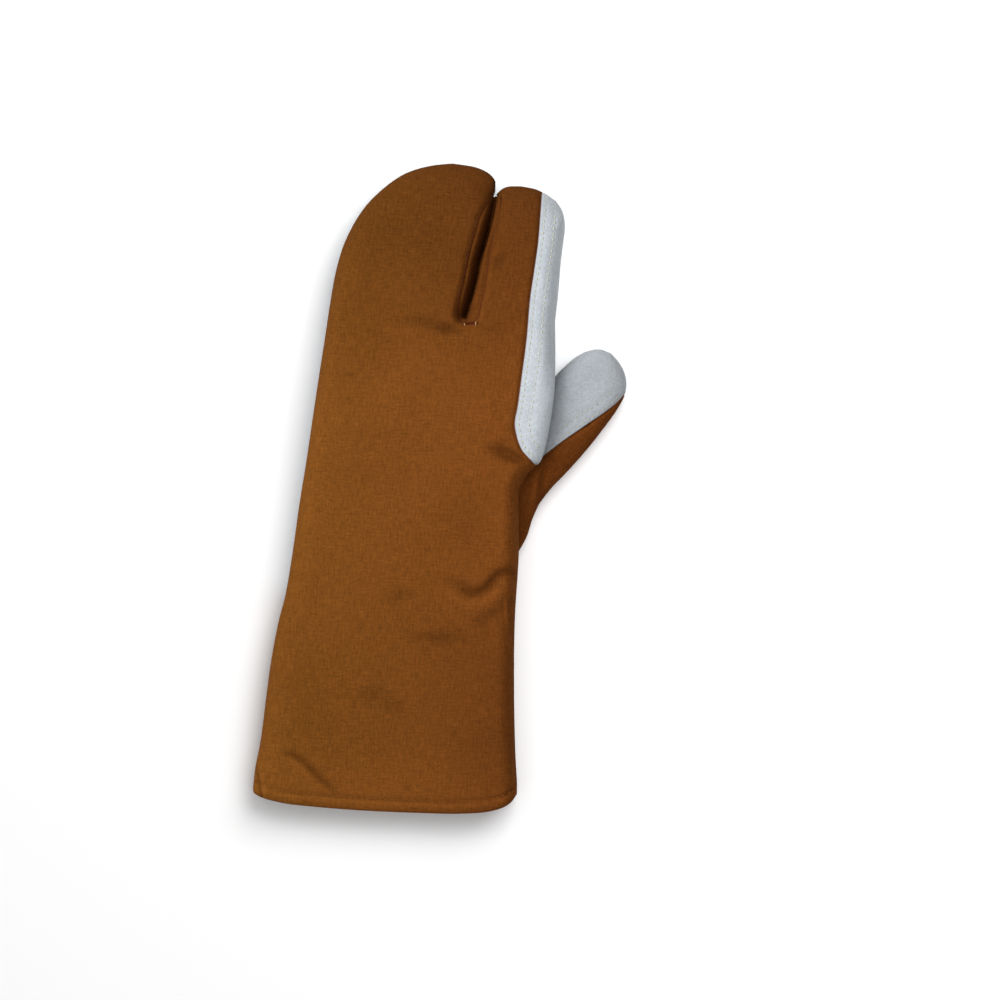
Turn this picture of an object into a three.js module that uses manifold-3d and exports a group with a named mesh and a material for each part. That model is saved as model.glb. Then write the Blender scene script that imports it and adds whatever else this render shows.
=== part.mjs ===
// A left-hand gauntlet mitt of padded brown cotton and split leather, lying palm down.
// It has a lobe for three fingers, an index finger and a thumb, and is hollow throughout.
// Millimetres. +X points to the thumb side, +Y to the fingertips, +Z up from the palm.
// Plan tables count y from the hem; the finished group is moved so that the origin is the
// middle of the bounding box's bottom.

import * as THREE from "three";
import { mergeVertices } from "three/addons/utils/BufferGeometryUtils.js";
import Module from "manifold-3d";

const wasm = await Module();
wasm.setup();

// Walls and seams
const CLOTH = 3.0;
const GUSSET = 2.2;
const GUSSET_AT_MOUTH = 1.1;
const LEATHER = 2.0;
const SEAM_GAP = 0.5;
const GUSSET_EASE = 0.4;
const HEM_DEPTH = 8.0;
const HEM_EXTRA = 1.2;

// Rounding of the edges: how far in from an edge the surface reaches its full height
const EDGE_REACH = 20.0;
const FOLD_REACH = 15.0;
const TIP_REACH = 26.0;
const SLIT_REACH = 13.0;
const SEAM_HEIGHT = 0.44;
const TOP_POWER = 2.2;
const UNDER_POWER = 2.6;
const UNDER_TIGHTNESS = 1.7;
const UNDER_OVERSHOOT = 1.07;

// The slit between the lobe and the index finger
const HALF_SLIT = 0.7;
const SLIT_BOTTOM_Y = 294.5;
const BACK_SEAM_DROP = 5.0;
const PALM_SEAM_DROP = 7.5;
const GUSSET_THINS_Y = 346.0;
const GUSSET_END_Y = 366.0;
const SLIT_MOUTH_X = 41.4;
const SLIT_ENDS_Y = 370.0;

// Seams in plan
const WRAP_END_Y = 171.0;
const LEATHER_START_Y = 124.0;
const STRIP_START_Y = 209.0;
const STRIP_STRAIGHT_Y = 233.0;

// Hand and gauntlet: left and right edge, and height, of each section
const BODY = [
  { y: 0, left: -77.0, right: 75.4, height: 25 },
  { y: 7, left: -80.4, right: 75.6, height: 27 },
  { y: 19, left: -79.9, right: 75.2, height: 29 },
  { y: 37, left: -77.5, right: 73.2, height: 31 },
  { y: 60, left: -75.9, right: 71.2, height: 32 },
  { y: 82, left: -74.3, right: 69.7, height: 32 },
  { y: 107, left: -71.2, right: 68.4, height: 32 },
  { y: 124, left: -67.9, right: 68.0, height: 33 },
  { y: 150, left: -65.1, right: 68.2, height: 35 },
  { y: 176, left: -63.0, right: 67.0, height: 36 },
  { y: 192, left: -61.4, right: 66.4, height: 37 },
  { y: 203, left: -60.2, right: 70.5, height: 38 },
  { y: 212, left: -59.4, right: 78.0, height: 38 },
  { y: 232, left: -57.7, right: 81.7, height: 39 },
  { y: 255, left: -55.6, right: 83.3, height: 39 },
  { y: 275, left: -53.7, right: 82.6, height: 38 },
  { y: 294.5, left: -52.0, right: 81.3, height: 37 },
];

// Lobe for three fingers: left and right end of each section, up to the apex
const LOBE = [
  { lx: -52.0, ly: 294.5, rx: 29.1, ry: 294.5, height: 37 },
  { lx: -50.2, ly: 312, rx: 32.3, ry: 312, height: 36 },
  { lx: -46.7, ly: 329, rx: 35.9, ry: 329, height: 35 },
  { lx: -41.6, ly: 341.5, rx: 38.1, ry: 341.5, height: 34 },
  { lx: -33.1, ly: 354, rx: 39.6, ry: 354, height: 32 },
  { lx: -23.2, ly: 365.2, rx: 40.6, ry: 366, height: 30 },
  { lx: -11.8, ly: 375.8, rx: 38.6, ry: 376, height: 27 },
  { lx: 1.5, ly: 381.6, rx: 30.0, ry: 381.8, height: 24 },
  { lx: 15.5, ly: 384, rx: 15.5, ry: 384, height: 22 },
];

// Index finger
const INDEX = [
  { lx: 30.5, ly: 294.5, rx: 81.3, ry: 294.5, height: 37 },
  { lx: 33.7, ly: 312, rx: 82.2, ry: 312, height: 36 },
  { lx: 37.3, ly: 329, rx: 82.6, ry: 329, height: 34 },
  { lx: 39.5, ly: 341.5, rx: 83.4, ry: 341.5, height: 33 },
  { lx: 40.6, ly: 350, rx: 83.9, ry: 350, height: 31 },
  { lx: 41.6, ly: 358, rx: 82.4, ry: 358, height: 29 },
  { lx: 42.8, ly: 366, rx: 78.2, ry: 364.5, height: 26 },
  { lx: 45.6, ly: 370, rx: 70.5, ry: 369.6, height: 23 },
  { lx: 56.5, ly: 372.6, rx: 56.5, ry: 372.6, height: 21 },
];

// How far each side's seam stands from the slit's wall, by y
const SLIT_SEAMS = [
  { y: 294.5, backLeft: 7.0, backRight: 5.0, palmLeft: 7.2, palmRight: 7.2 },
  { y: 306, backLeft: 7.6, backRight: 5.4, palmLeft: 7.0, palmRight: 6.6 },
  { y: 325, backLeft: 7.8, backRight: 5.0, palmLeft: 5.6, palmRight: 5.4 },
  { y: 350, backLeft: 5.2, backRight: 3.6, palmLeft: 3.4, palmRight: 3.2 },
  { y: 366, backLeft: 1.0, backRight: 1.0, palmLeft: 0.9, palmRight: 0.9 },
];

// Edge of the leather strip on the back, over the index finger's outer edge
const STRIP_SEAM = [
  { y: 209, x: 74.8 },
  { y: 211, x: 72.8 },
  { y: 213.5, x: 69.8 },
  { y: 217, x: 66.4 },
  { y: 225, x: 62.8 },
  { y: 233, x: 61.2 },
  { y: 242, x: 62.3 },
  { y: 262, x: 63.8 },
  { y: 284, x: 65.3 },
  { y: 304, x: 65.8 },
  { y: 321, x: 67.2 },
  { y: 342, x: 68.8 },
  { y: 371, x: 69.4 },
];

// Seam underneath, where the back's cloth ends after it has turned round the thumb side
const WRAP_SEAM = [
  { y: 0, x: 50.6 },
  { y: 37, x: 48.6 },
  { y: 82, x: 45.4 },
  { y: 124, x: 44.0 },
  { y: 150, x: 44.4 },
  { y: 160, x: 46.0 },
  { y: 171, x: 52.4 },
];

// The hem's edge in plan, which is a little bowed and rounded at the thumb side
const HEM_LINE = [
  { x: -80, y: 6.0 },
  { x: -74, y: 3.6 },
  { x: -54, y: 0.7 },
  { x: -15, y: -0.2 },
  { x: 33, y: 0.8 },
  { x: 54, y: 2.6 },
  { x: 66, y: 5.8 },
  { x: 72, y: 9.6 },
  { x: 75.4, y: 14.5 },
];
const HEM_FADE_Y = 60.0;

// Dents (negative) and soft ridges (positive) on the back: centre, half sizes along and
// across the crease, its direction from +X in degrees, and its depth
const FOLDS = [
  { x: 8, y: 289, long: 20, wide: 5, turn: -6, depth: -2.0 },
  { x: 48, y: 288, long: 12, wide: 4, turn: 5, depth: -1.8 },
  { x: 56, y: 214, long: 12, wide: 5, turn: -18, depth: -3.4 },
  { x: 42, y: 137, long: 22, wide: 6, turn: 14, depth: -4.0 },
  { x: 50, y: 120, long: 18, wide: 9, turn: 25, depth: 2.0 },
  { x: -60, y: 27, long: 20, wide: 6, turn: -22, depth: -4.5 },
  { x: -38, y: 14, long: 16, wide: 6, turn: -45, depth: -3.0 },
  { x: 24, y: 98, long: 24, wide: 10, turn: 10, depth: -1.6 },
  { x: -16, y: 64, long: 30, wide: 12, turn: 70, depth: -1.5 },
];

// Thumb: its axis in plan starts at the wrist side of the palm and runs up and outward
const THUMB_ROOT = new THREE.Vector2(61.0, 186.9);
const THUMB_LEAN_DEG = 58.3;
const THUMB_GROW = 0.4;
const THUMB_REACH = 15.0;
const THUMB_SEAM_HEIGHT = 0.5;
const CROTCH_LOW_Y = 203.0;
const CROTCH_HIGH_Y = 214.0;
const PALM_LIFT = 23.6;
const LIFT_OUTSIDE = 14.0;
const LIFT_INSIDE = 7.0;
const THUMB_HALF_WIDTH = 20.0;

// Thumb sections along the axis: inner and outer edge, height, the seam on its upper side,
// and how far the seam underneath stands in from the outer edge
const THUMB = [
  { s: -28, inner: -1.0, outer: 22.0, height: 17, seam: 0.5, margin: 16 },
  { s: -13, inner: -9.5, outer: 20.6, height: 19, seam: 0.0, margin: 15.5 },
  { s: 0, inner: -16.5, outer: 16.8, height: 21, seam: 0.0, margin: 14 },
  { s: 10, inner: -19.6, outer: 15.2, height: 22, seam: 0.0, margin: 12 },
  { s: 20, inner: -20.0, outer: 15.7, height: 22, seam: 0.2, margin: 10.5 },
  { s: 31, inner: -20.2, outer: 17.4, height: 22, seam: 1.0, margin: 9 },
  { s: 45, inner: -20.6, outer: 19.2, height: 22, seam: 4.8, margin: 7.3 },
  { s: 60, inner: -21.0, outer: 20.4, height: 22, seam: 10.0, margin: 5.6 },
  { s: 78, inner: -20.2, outer: 20.9, height: 21, seam: 16.6, margin: 3.4 },
  { s: 86, inner: -18.6, outer: 20.4, height: 20, seam: 18.6, margin: 2.0 },
  { s: 90, inner: -17.6, outer: 19.6, height: 19, seam: 18.9, margin: 0.8 },
  { s: 96, inner: -15.2, outer: 16.8, height: 18, seam: 16.8, margin: 0 },
  { s: 101, inner: -11.6, outer: 11.8, height: 17, seam: 11.8, margin: 0 },
  { s: 104.4, inner: -7.0, outer: 5.0, height: 16, seam: 5.0, margin: 0 },
  { s: 105.8, inner: -1.2, outer: -1.2, height: 15, seam: -1.2, margin: 0 },
];
const THUMB_BACK_END = 90.0;

// Where the outline's rounding and its edge's direction change, as a fraction of the run
const LOBE_TIP_FROM = 0.5;
const INDEX_TIP_FROM = 0.69;
const TURN_FROM = 0.6;
const TIP_CENTRE_BACK = 25.0;
const INDEX_CENTRE = new THREE.Vector2(56.0, 330.0);
const THUMB_TURN_FROM = 80.0;
const THUMB_TURN = 0.7;

// The outline runs on past the hem and past the thumb's root, so that neither end is rounded
const BELOW_HEM_Y = -60.0;
const BELOW_ROOT = 40.0;
const THUMB_CROWDING = 1.6;

// The hollow of the hand where the thumb opens into it
const HOLLOW_FROM_Y = 116.0;
const HOLLOW_TO_Y = 262.0;
const HOLLOW_SECTIONS = 21;
const HOLLOW_COLUMNS = 20;
const HOLLOW_INSET = 3.2;
const HOLLOW_LIFT = 2.7;
const THINNEST = 0.05;

// Mesh density
const EDGE_STEPS = 30;
const FINGER_EDGE_STEPS = 24;
const THUMB_EDGE_STEPS = 40;
const THUMB_TIP_ROWS = 7;
const THUMB_HOLE_COLUMNS = 18;
const THUMB_HOLE_STOPS_SHORT = 0.2;
const GUSSET_COLUMNS = 3;
const BODY_STEP = 12.0;
const LEFT_COLUMNS = 12;
const RIGHT_COLUMNS = 9;
const EDGE_COLUMNS = 5;
const FINGER_ROWS = 13;
const FAN_ROWS = 4;
const THUMB_STEP = 9.0;
const THUMB_COLUMNS = 7;
const STRIP_LEAST_WIDTH = 0.3;

// Smallest distance used in a quotient, step for a slope, and slack for equal values
const NEAREST = 1e-3;
const SLOPE_STEP = 0.05;
const SLACK = 1e-6;
const MERGE = 1e-4;

const ease = (t) => {
  const c = Math.min(1, Math.max(0, t));
  return c * c * (3 - 2 * c);
};

const mix = (a, b, t) => a + (b - a) * t;

const spread = (count, spacing) => Array.from({ length: count + 1 }, (_, i) => spacing(i / count));

// A smooth curve through a table's rows that never overshoots them
function curve(rows, at, key) {
  const x = rows.map((row) => row[at]);
  const y = rows.map((row) => row[key]);
  const rise = x.slice(1).map((next, i) => (y[i + 1] - y[i]) / (next - x[i]));
  const slope = y.map((_, i) => {
    if (i === 0) return rise[0];
    if (i === y.length - 1) return rise[i - 1];
    const a = rise[i - 1];
    const b = rise[i];
    return a * b > 0 ? (2 * a * b) / (a + b) : 0;
  });
  return (v) => {
    if (v <= x[0]) return y[0];
    if (v >= x[x.length - 1]) return y[y.length - 1];
    let i = 0;
    while (v > x[i + 1]) i += 1;
    const h = x[i + 1] - x[i];
    const t = (v - x[i]) / h;
    const keep = (1 + 2 * t) * (1 - t) ** 2;
    const reach = t * t * (3 - 2 * t);
    const start = t * (1 - t) ** 2 * h;
    const end = t * t * (t - 1) * h;
    return keep * y[i] + reach * y[i + 1] + start * slope[i] + end * slope[i + 1];
  };
}

// A finger's sections as smooth functions of the distance run along it, 0 to 1
function fingerCurves(rows) {
  let run = 0;
  const placed = rows.map((row, i) => {
    if (i > 0) {
      const before = rows[i - 1];
      const left = Math.hypot(row.lx - before.lx, row.ly - before.ly);
      const right = Math.hypot(row.rx - before.rx, row.ry - before.ry);
      run += (left + right) / 2;
    }
    return { ...row, run };
  });
  const scaled = placed.map((row) => ({ ...row, t: row.run / run }));
  const of = (key) => curve(scaled, "t", key);
  const mouth = scaled.find((row) => row.ry === GUSSET_END_Y || row.ly === GUSSET_END_Y).t;
  const height = curve(rows, "ly", "height");
  return { lx: of("lx"), ly: of("ly"), rx: of("rx"), ry: of("ry"), height, mouth };
}

const bodyLeft = curve(BODY, "y", "left");
const bodyRight = curve(BODY, "y", "right");
const bodyHeight = curve(BODY, "y", "height");
const lobe = fingerCurves(LOBE);
const index = fingerCurves(INDEX);
const SLIT_CENTRE = LOBE.filter((row) => row.ry <= GUSSET_END_Y).map((row) => ({
  y: row.ry,
  x: row.ry < GUSSET_END_Y ? row.rx + HALF_SLIT : SLIT_MOUTH_X,
}));
const slitX = curve(SLIT_CENTRE, "y", "x");
const hemLine = curve(HEM_LINE, "x", "y");
const wrapX = curve(WRAP_SEAM, "y", "x");
const stripX = curve(STRIP_SEAM, "y", "x");

// Distance from a line's stretch, summed so that one endless straight edge gives its own
// plain distance and a corner is rounded off
function edgePull(px, py, a, b) {
  const length = Math.hypot(b.x - a.x, b.y - a.y);
  const ux = (b.x - a.x) / length;
  const uy = (b.y - a.y) / length;
  const along = (px - a.x) * ux + (py - a.y) * uy;
  const off = Math.max(NEAREST, Math.abs((py - a.y) * ux - (px - a.x) * uy));
  const term = (s) => s / (off * off * Math.hypot(s, off));
  return term(length - along) + term(along);
}

// The glove's outer edge in plan, with how far in each stretch is rounded
function outerEdge() {
  const points = [];
  const add = (x, y, reach) => points.push({ x, y, reach });
  const rows = spread(EDGE_STEPS, (t) => mix(BELOW_HEM_Y, SLIT_BOTTOM_Y, t));
  const up = Array.from({ length: FINGER_EDGE_STEPS }, (_, i) => (i + 1) / FINGER_EDGE_STEPS);
  const down = [...up].reverse().slice(1);
  rows.forEach((y) => add(bodyLeft(y), y, EDGE_REACH));
  up.forEach((t) => add(lobe.lx(t), lobe.ly(t), t < LOBE_TIP_FROM ? EDGE_REACH : TIP_REACH));
  down.filter((t) => lobe.ry(t) >= GUSSET_END_Y).forEach((t) => add(lobe.rx(t), lobe.ry(t), TIP_REACH));
  up.filter((t) => index.ly(t) >= GUSSET_END_Y).forEach((t) => add(index.lx(t), index.ly(t), TIP_REACH));
  down.forEach((t) => add(index.rx(t), index.ry(t), t > INDEX_TIP_FROM ? TIP_REACH : FOLD_REACH));
  rows.reverse().forEach((y) => add(bodyRight(y), y, FOLD_REACH));
  return points;
}

const OUTER_EDGE = outerEdge();

function slitDistance(x, y) {
  if (y < SLIT_BOTTOM_Y) return Math.hypot(x - slitX(SLIT_BOTTOM_Y), y - SLIT_BOTTOM_Y);
  return Math.abs(x - slitX(y));
}

// 0 on the edge, 1 where the surface has reached its full height
function inset(x, y) {
  let sum = 0;
  for (let i = 1; i < OUTER_EDGE.length; i += 1) {
    const a = OUTER_EDGE[i - 1];
    const b = OUTER_EDGE[i];
    sum += 0.5 * b.reach * b.reach * edgePull(x, y, a, b);
  }
  const slit = Math.max(NEAREST, slitDistance(x, y) - HALF_SLIT) / SLIT_REACH;
  if (y < SLIT_ENDS_Y) sum += 1 / (slit * slit);
  return 1 / Math.sqrt(sum);
}

const swell = (q, power) => (1 - (1 - Math.min(1, q)) ** power) ** (1 / power);

// The thumb's own plan coordinates: s along its axis, n across it towards the outside
const THUMB_AXIS = new THREE.Vector2(
  Math.cos(THREE.MathUtils.degToRad(THUMB_LEAN_DEG)),
  Math.sin(THREE.MathUtils.degToRad(THUMB_LEAN_DEG)),
);
const toThumb = (x, y) => {
  const dx = x - THUMB_ROOT.x;
  const dy = y - THUMB_ROOT.y;
  return { s: dx * THUMB_AXIS.x + dy * THUMB_AXIS.y, n: dx * THUMB_AXIS.y - dy * THUMB_AXIS.x };
};
const fromThumb = (s, n) => ({
  x: THUMB_ROOT.x + s * THUMB_AXIS.x + n * THUMB_AXIS.y,
  y: THUMB_ROOT.y + s * THUMB_AXIS.y - n * THUMB_AXIS.x,
});

// Where the palm lies on the thumb instead of on the ground
function palmFloor(x, y) {
  const inside = toThumb(x, y).n + THUMB_HALF_WIDTH;
  const across = ease((inside + LIFT_OUTSIDE) / (LIFT_OUTSIDE + LIFT_INSIDE));
  return PALM_LIFT * across * ease((y - CROTCH_LOW_Y) / (CROTCH_HIGH_Y - CROTCH_LOW_Y));
}

function foldHeight(x, y) {
  return FOLDS.reduce((sum, fold) => {
    const turn = THREE.MathUtils.degToRad(fold.turn);
    const dx = x - fold.x;
    const dy = y - fold.y;
    const along = (dx * Math.cos(turn) + dy * Math.sin(turn)) / fold.long;
    const across = (dy * Math.cos(turn) - dx * Math.sin(turn)) / fold.wide;
    return sum + fold.depth * Math.exp(-along * along - across * across);
  }, 0);
}

function fullHeight(x, y) {
  if (y <= SLIT_BOTTOM_Y) return bodyHeight(y);
  return x < slitX(y) ? lobe.height(y) : index.height(y);
}

// Height of the glove's outer surface: side 1 above the edge seam, -1 below it, 0 on it
function surface(x, y, side) {
  const floor = palmFloor(x, y);
  const full = fullHeight(x, y);
  const middle = floor + SEAM_HEIGHT * (full - floor);
  if (side === 0) return middle;
  const q = inset(x, y);
  if (side > 0) {
    const rise = swell(q, TOP_POWER);
    return middle + (full - middle) * rise + foldHeight(x, y) * rise * rise;
  }
  const drop = (middle - floor) * UNDER_OVERSHOOT * swell(q * UNDER_TIGHTNESS, UNDER_POWER);
  return Math.max(floor, middle - drop);
}

// The same for the thumb
const thumbInner = curve(THUMB, "s", "inner");
const thumbOuter = curve(THUMB, "s", "outer");
const thumbHeight = curve(THUMB, "s", "height");
const thumbSeam = curve(THUMB, "s", "seam");
const thumbMargin = curve(THUMB, "s", "margin");

function thumbEdge() {
  const first = THUMB[0].s - BELOW_ROOT;
  const last = THUMB[THUMB.length - 1].s;
  const at = (i) => last - (last - first) * (1 - i / THUMB_EDGE_STEPS) ** THUMB_CROWDING;
  const inner = Array.from({ length: THUMB_EDGE_STEPS + 1 }, (_, i) => ({ x: at(i), y: thumbInner(at(i)) }));
  const outer = Array.from({ length: THUMB_EDGE_STEPS + 1 }, (_, i) => ({ x: at(i), y: thumbOuter(at(i)) }));
  return [...inner, ...outer.reverse().slice(1)];
}

const THUMB_EDGE = thumbEdge();

function thumbSurface(s, n, side) {
  const full = thumbHeight(s);
  const middle = THUMB_SEAM_HEIGHT * full;
  if (side === 0) return middle;
  let sum = 0;
  for (let i = 1; i < THUMB_EDGE.length; i += 1) {
    sum += 0.5 * THUMB_REACH * THUMB_REACH * edgePull(s, n, THUMB_EDGE[i - 1], THUMB_EDGE[i]);
  }
  const q = 1 / Math.sqrt(sum);
  if (side > 0) return middle + (full - middle) * swell(q, TOP_POWER);
  return Math.max(0, middle * (1 - UNDER_OVERSHOOT * swell(q * UNDER_TIGHTNESS, UNDER_POWER)));
}

// A wall of even thickness under a surface: patches of grid points become one closed solid.
// A point is { x, y, side, out }, and out is the plan direction away from the glove on its edge.
class Wall {
  constructor(height, thickness, raise) {
    this.height = height;
    this.thickness = thickness;
    this.raise = raise;
    this.outer = [];
    this.inner = [];
    this.faces = [];
    this.known = new Map();
  }

  normal(p) {
    if (p.side === 0) return new THREE.Vector3(p.out.x, p.out.y, 0).normalize();
    const h = SLOPE_STEP;
    const { x, y } = p.seam ?? p;
    const dx = (this.height(x + h, y, p.side) - this.height(x - h, y, p.side)) / (2 * h);
    const dy = (this.height(x, y + h, p.side) - this.height(x, y - h, p.side)) / (2 * h);
    return new THREE.Vector3(-dx, -dy, 1).multiplyScalar(p.side).normalize();
  }

  vertex(p) {
    const key = `${p.x.toFixed(3)},${p.y.toFixed(3)},${p.side}`;
    if (!this.known.has(key)) {
      this.known.set(key, this.outer.length);
      const z = this.height(p.x, p.y, p.side) + this.raise(p.side);
      const outer = new THREE.Vector3(p.x, p.y, z);
      const thick = this.thickness(p.x, p.y);
      this.outer.push(outer);
      this.inner.push(outer.clone().addScaledVector(this.normal(p), -thick));
    }
    return this.known.get(key);
  }

  // Rows of points; seen from outside, columns run to the right and rows run up
  patch(rows) {
    const ids = rows.map((row) => row.map((p) => this.vertex(p)));
    for (let j = 1; j < ids.length; j += 1) {
      for (let i = 1; i < ids[j].length; i += 1) {
        const quad = [ids[j - 1][i - 1], ids[j - 1][i], ids[j][i], ids[j][i - 1]];
        this.face(quad[0], quad[1], quad[2]);
        this.face(quad[0], quad[2], quad[3]);
      }
    }
    return this;
  }

  face(a, b, c) {
    if (a !== b && b !== c && c !== a) this.faces.push([a, b, c]);
  }

  geometry() {
    const count = this.outer.length;
    const position = [...this.outer, ...this.inner].flatMap((v) => v.toArray());
    const used = new Set(this.faces.flatMap(([a, b, c]) => [`${a},${b}`, `${b},${c}`, `${c},${a}`]));
    const triangles = [];
    this.faces.forEach(([a, b, c]) => {
      triangles.push(a, b, c, a + count, c + count, b + count);
      [[a, b], [b, c], [c, a]].forEach(([u, v]) => {
        if (!used.has(`${v},${u}`)) triangles.push(v, u, u + count, v, u + count, v + count);
      });
    });
    const geometry = new THREE.BufferGeometry();
    geometry.setAttribute("position", new THREE.Float32BufferAttribute(position, 3));
    geometry.setIndex(triangles);
    return geometry;
  }
}

function toManifold(geometry) {
  const plain = geometry.clone();
  plain.deleteAttribute("normal");
  plain.deleteAttribute("uv");
  const merged = mergeVertices(plain, MERGE);
  return new wasm.Manifold(new wasm.Mesh({
    numProp: 3,
    vertProperties: new Float32Array(merged.attributes.position.array),
    triVerts: new Uint32Array(merged.index.array),
  }));
}

function fromManifold(solid) {
  const mesh = solid.getMesh();
  const geometry = new THREE.BufferGeometry();
  const xyz = mesh.vertProperties;
  geometry.setAttribute("position", new THREE.Float32BufferAttribute(xyz, 3));
  geometry.setIndex(Array.from(mesh.triVerts));
  return geometry;
}

const raiseBack = (side) => (side >= 0 ? SEAM_GAP : 0);
const raiseGusset = (side) => SEAM_GAP * (side + 1) / 2;
const keepLow = () => 0;
const clothThickness = (x, y) => (y < HEM_DEPTH + hemLine(x) ? CLOTH + HEM_EXTRA : CLOTH);
const leatherThickness = () => LEATHER;
const gussetThickness = (x, y) => {
  const along = ease((y - GUSSET_THINS_Y) / (GUSSET_END_Y - GUSSET_THINS_Y));
  return mix(GUSSET, GUSSET_AT_MOUTH, along);
};

const nearStart = (t) => 1 - Math.cos((Math.PI / 2) * t);
const nearEnd = (t) => Math.sin((Math.PI / 2) * t);
const nearBoth = (t) => (1 - Math.cos(Math.PI * t)) / 2;

const LEFT = { x: -1, y: 0 };
const RIGHT = { x: 1, y: 0 };

// Lets the sections near the hem follow its bowed line
const bend = (x, y) => y + hemLine(x) * (1 - Math.min(1, y / HEM_FADE_Y)) ** 2;

// One section's points from x0 to x1. A point on the glove's edge gets side 0, and one on a
// seam takes its normal from the seam's own line, as the piece beyond it does.
function section(y, x0, x1, fractions, side, edges) {
  return fractions.map((t, i) => {
    const x = mix(x0, x1, t);
    const first = i === 0;
    const last = i === fractions.length - 1;
    const onEdge = (first && edges.start) || (last && edges.end);
    const seam = (first && edges.startSeam) || (last && edges.endSeam) || x;
    return { x, y: bend(x, y), side: onEdge ? 0 : side, out: onEdge, seam: { x: seam, y: bend(x, y) } };
  });
}

// y of the sections below the slit; the hand's are shared by its back and its palm
function evenRows(from, to) {
  const count = Math.round((to - from) / BODY_STEP);
  return Array.from({ length: count + 1 }, (_, i) => mix(from, to, i / count));
}
const GAUNTLET_ROWS = evenRows(0, LEATHER_START_Y);
const HAND_ROWS = [
  ...evenRows(LEATHER_START_Y, CROTCH_LOW_Y),
  STRIP_START_Y - 0.8,
  ...STRIP_SEAM.map((row) => row.y).filter((y) => y < STRIP_STRAIGHT_Y),
  ...evenRows(STRIP_STRAIGHT_Y, SLIT_BOTTOM_Y - PALM_SEAM_DROP),
];

const fanAngles = Array.from({ length: FAN_ROWS + 1 }, (_, i) => (Math.PI / 2) * (1 - i / FAN_ROWS));

// Fractions of a finger's sections; the one nearest the slit's mouth is moved onto it
function fingerSteps(finger) {
  const steps = Array.from({ length: FINGER_ROWS }, (_, i) => nearEnd((i + 1) / FINGER_ROWS));
  const off = steps.map((t) => Math.abs(t - finger.mouth));
  steps[off.indexOf(Math.min(...off))] = finger.mouth;
  return steps;
}

const seamOff = (key) => curve(SLIT_SEAMS, "y", key);

// The x of a seam beside the slit, on side -1 (lobe) or 1 (index), and gap beyond it
function slitSeamX(y, key, drop, hand, gap) {
  const off = seamOff(key);
  const round = y < SLIT_BOTTOM_Y ? Math.sqrt(Math.max(0, 1 - ((SLIT_BOTTOM_Y - y) / drop) ** 2)) : 1;
  const start = HALF_SLIT + off(Math.max(y, SLIT_BOTTOM_Y)) + gap;
  return slitX(Math.max(y, SLIT_BOTTOM_Y)) + hand * start * round;
}

// A point of a finger's section at fraction f, between the outline and the slit's seam
function fingerRow(finger, t, hand, seam, fractions, side, limit) {
  const left = { x: finger.lx(t), y: finger.ly(t) };
  const right = { x: finger.rx(t), y: finger.ry(t) };
  const beside = hand < 0 ? right : left;
  const open = beside.y > GUSSET_END_Y + SLACK;
  if (!open) beside.x = slitSeamX(beside.y, seam.key, seam.drop, hand, seam.gap);
  const cut = limit !== undefined && right.x > limit(right.y);
  if (cut) right.x = limit(right.y);
  const centre = { x: mix(left.x, right.x, 0.5), y: mix(left.y, right.y, 0.5) - TIP_CENTRE_BACK };
  return fractions.map((f, i) => {
    const x = mix(left.x, right.x, f);
    const y = mix(left.y, right.y, f);
    const atStart = i === 0;
    const atEnd = i === fractions.length - 1;
    const first = atStart && (hand < 0 || open);
    const last = atEnd && ((hand > 0 && !cut) || (hand < 0 && open));
    const apex = t === 1;
    const out = { x: x - centre.x, y: t < TURN_FROM ? 0 : y - centre.y };
    const edge = first || last || apex;
    const nearer = (atStart ? 1 : -1) * (atStart || atEnd ? seam.gap : 0);
    return { x, y, side: edge ? 0 : side, out, seam: { x: edge ? x : x - nearer, y } };
  });
}

const reversed = (rows) => rows.map((row) => [...row].reverse());

function backPanel() {
  const wall = new Wall(surface, clothThickness, raiseBack);
  const leftSpread = spread(LEFT_COLUMNS, nearStart);
  const rightSpread = spread(RIGHT_COLUMNS, nearEnd);
  const rows = [...GAUNTLET_ROWS, ...HAND_ROWS.slice(1)];
  const fan = fanAngles.map((a) => SLIT_BOTTOM_Y - BACK_SEAM_DROP * Math.sin(a));
  const gap = SEAM_GAP / 2;
  const left = [...rows, ...fan].map((y) => {
    const inner = slitSeamX(y, "backLeft", BACK_SEAM_DROP, -1, gap);
    return section(y, bodyLeft(y), inner, leftSpread, 1, { start: LEFT, endSeam: inner + gap });
  });
  const right = [...rows, ...fan].map((y) => {
    const inner = slitSeamX(y, "backRight", BACK_SEAM_DROP, 1, gap);
    const far = y < STRIP_START_Y ? { end: RIGHT } : { endSeam: stripX(y) };
    const edge = y < STRIP_START_Y ? bodyRight(y) : stripX(y) - gap;
    return section(y, inner, edge, rightSpread, 1, { startSeam: inner - gap, ...far });
  });
  const lobeSeam = { key: "backLeft", drop: BACK_SEAM_DROP, gap };
  const indexSeam = { key: "backRight", drop: BACK_SEAM_DROP, gap };
  const strip = (y) => stripX(y) - gap;
  fingerSteps(lobe).forEach((t) => left.push(fingerRow(lobe, t, -1, lobeSeam, leftSpread, 1)));
  fingerSteps(index).forEach((t) => right.push(fingerRow(index, t, 1, indexSeam, rightSpread, 1, strip)));
  const wrap = rows.filter((y) => y < WRAP_END_Y).map((y) => {
    const edges = { start: RIGHT, endSeam: wrapX(y) };
    return section(y, bodyRight(y), wrapX(y) + gap, spread(EDGE_COLUMNS, nearStart), -1, edges);
  });
  wall.patch(left).patch(right).patch(wrap);
  return toManifold(wall.geometry());
}

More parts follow.
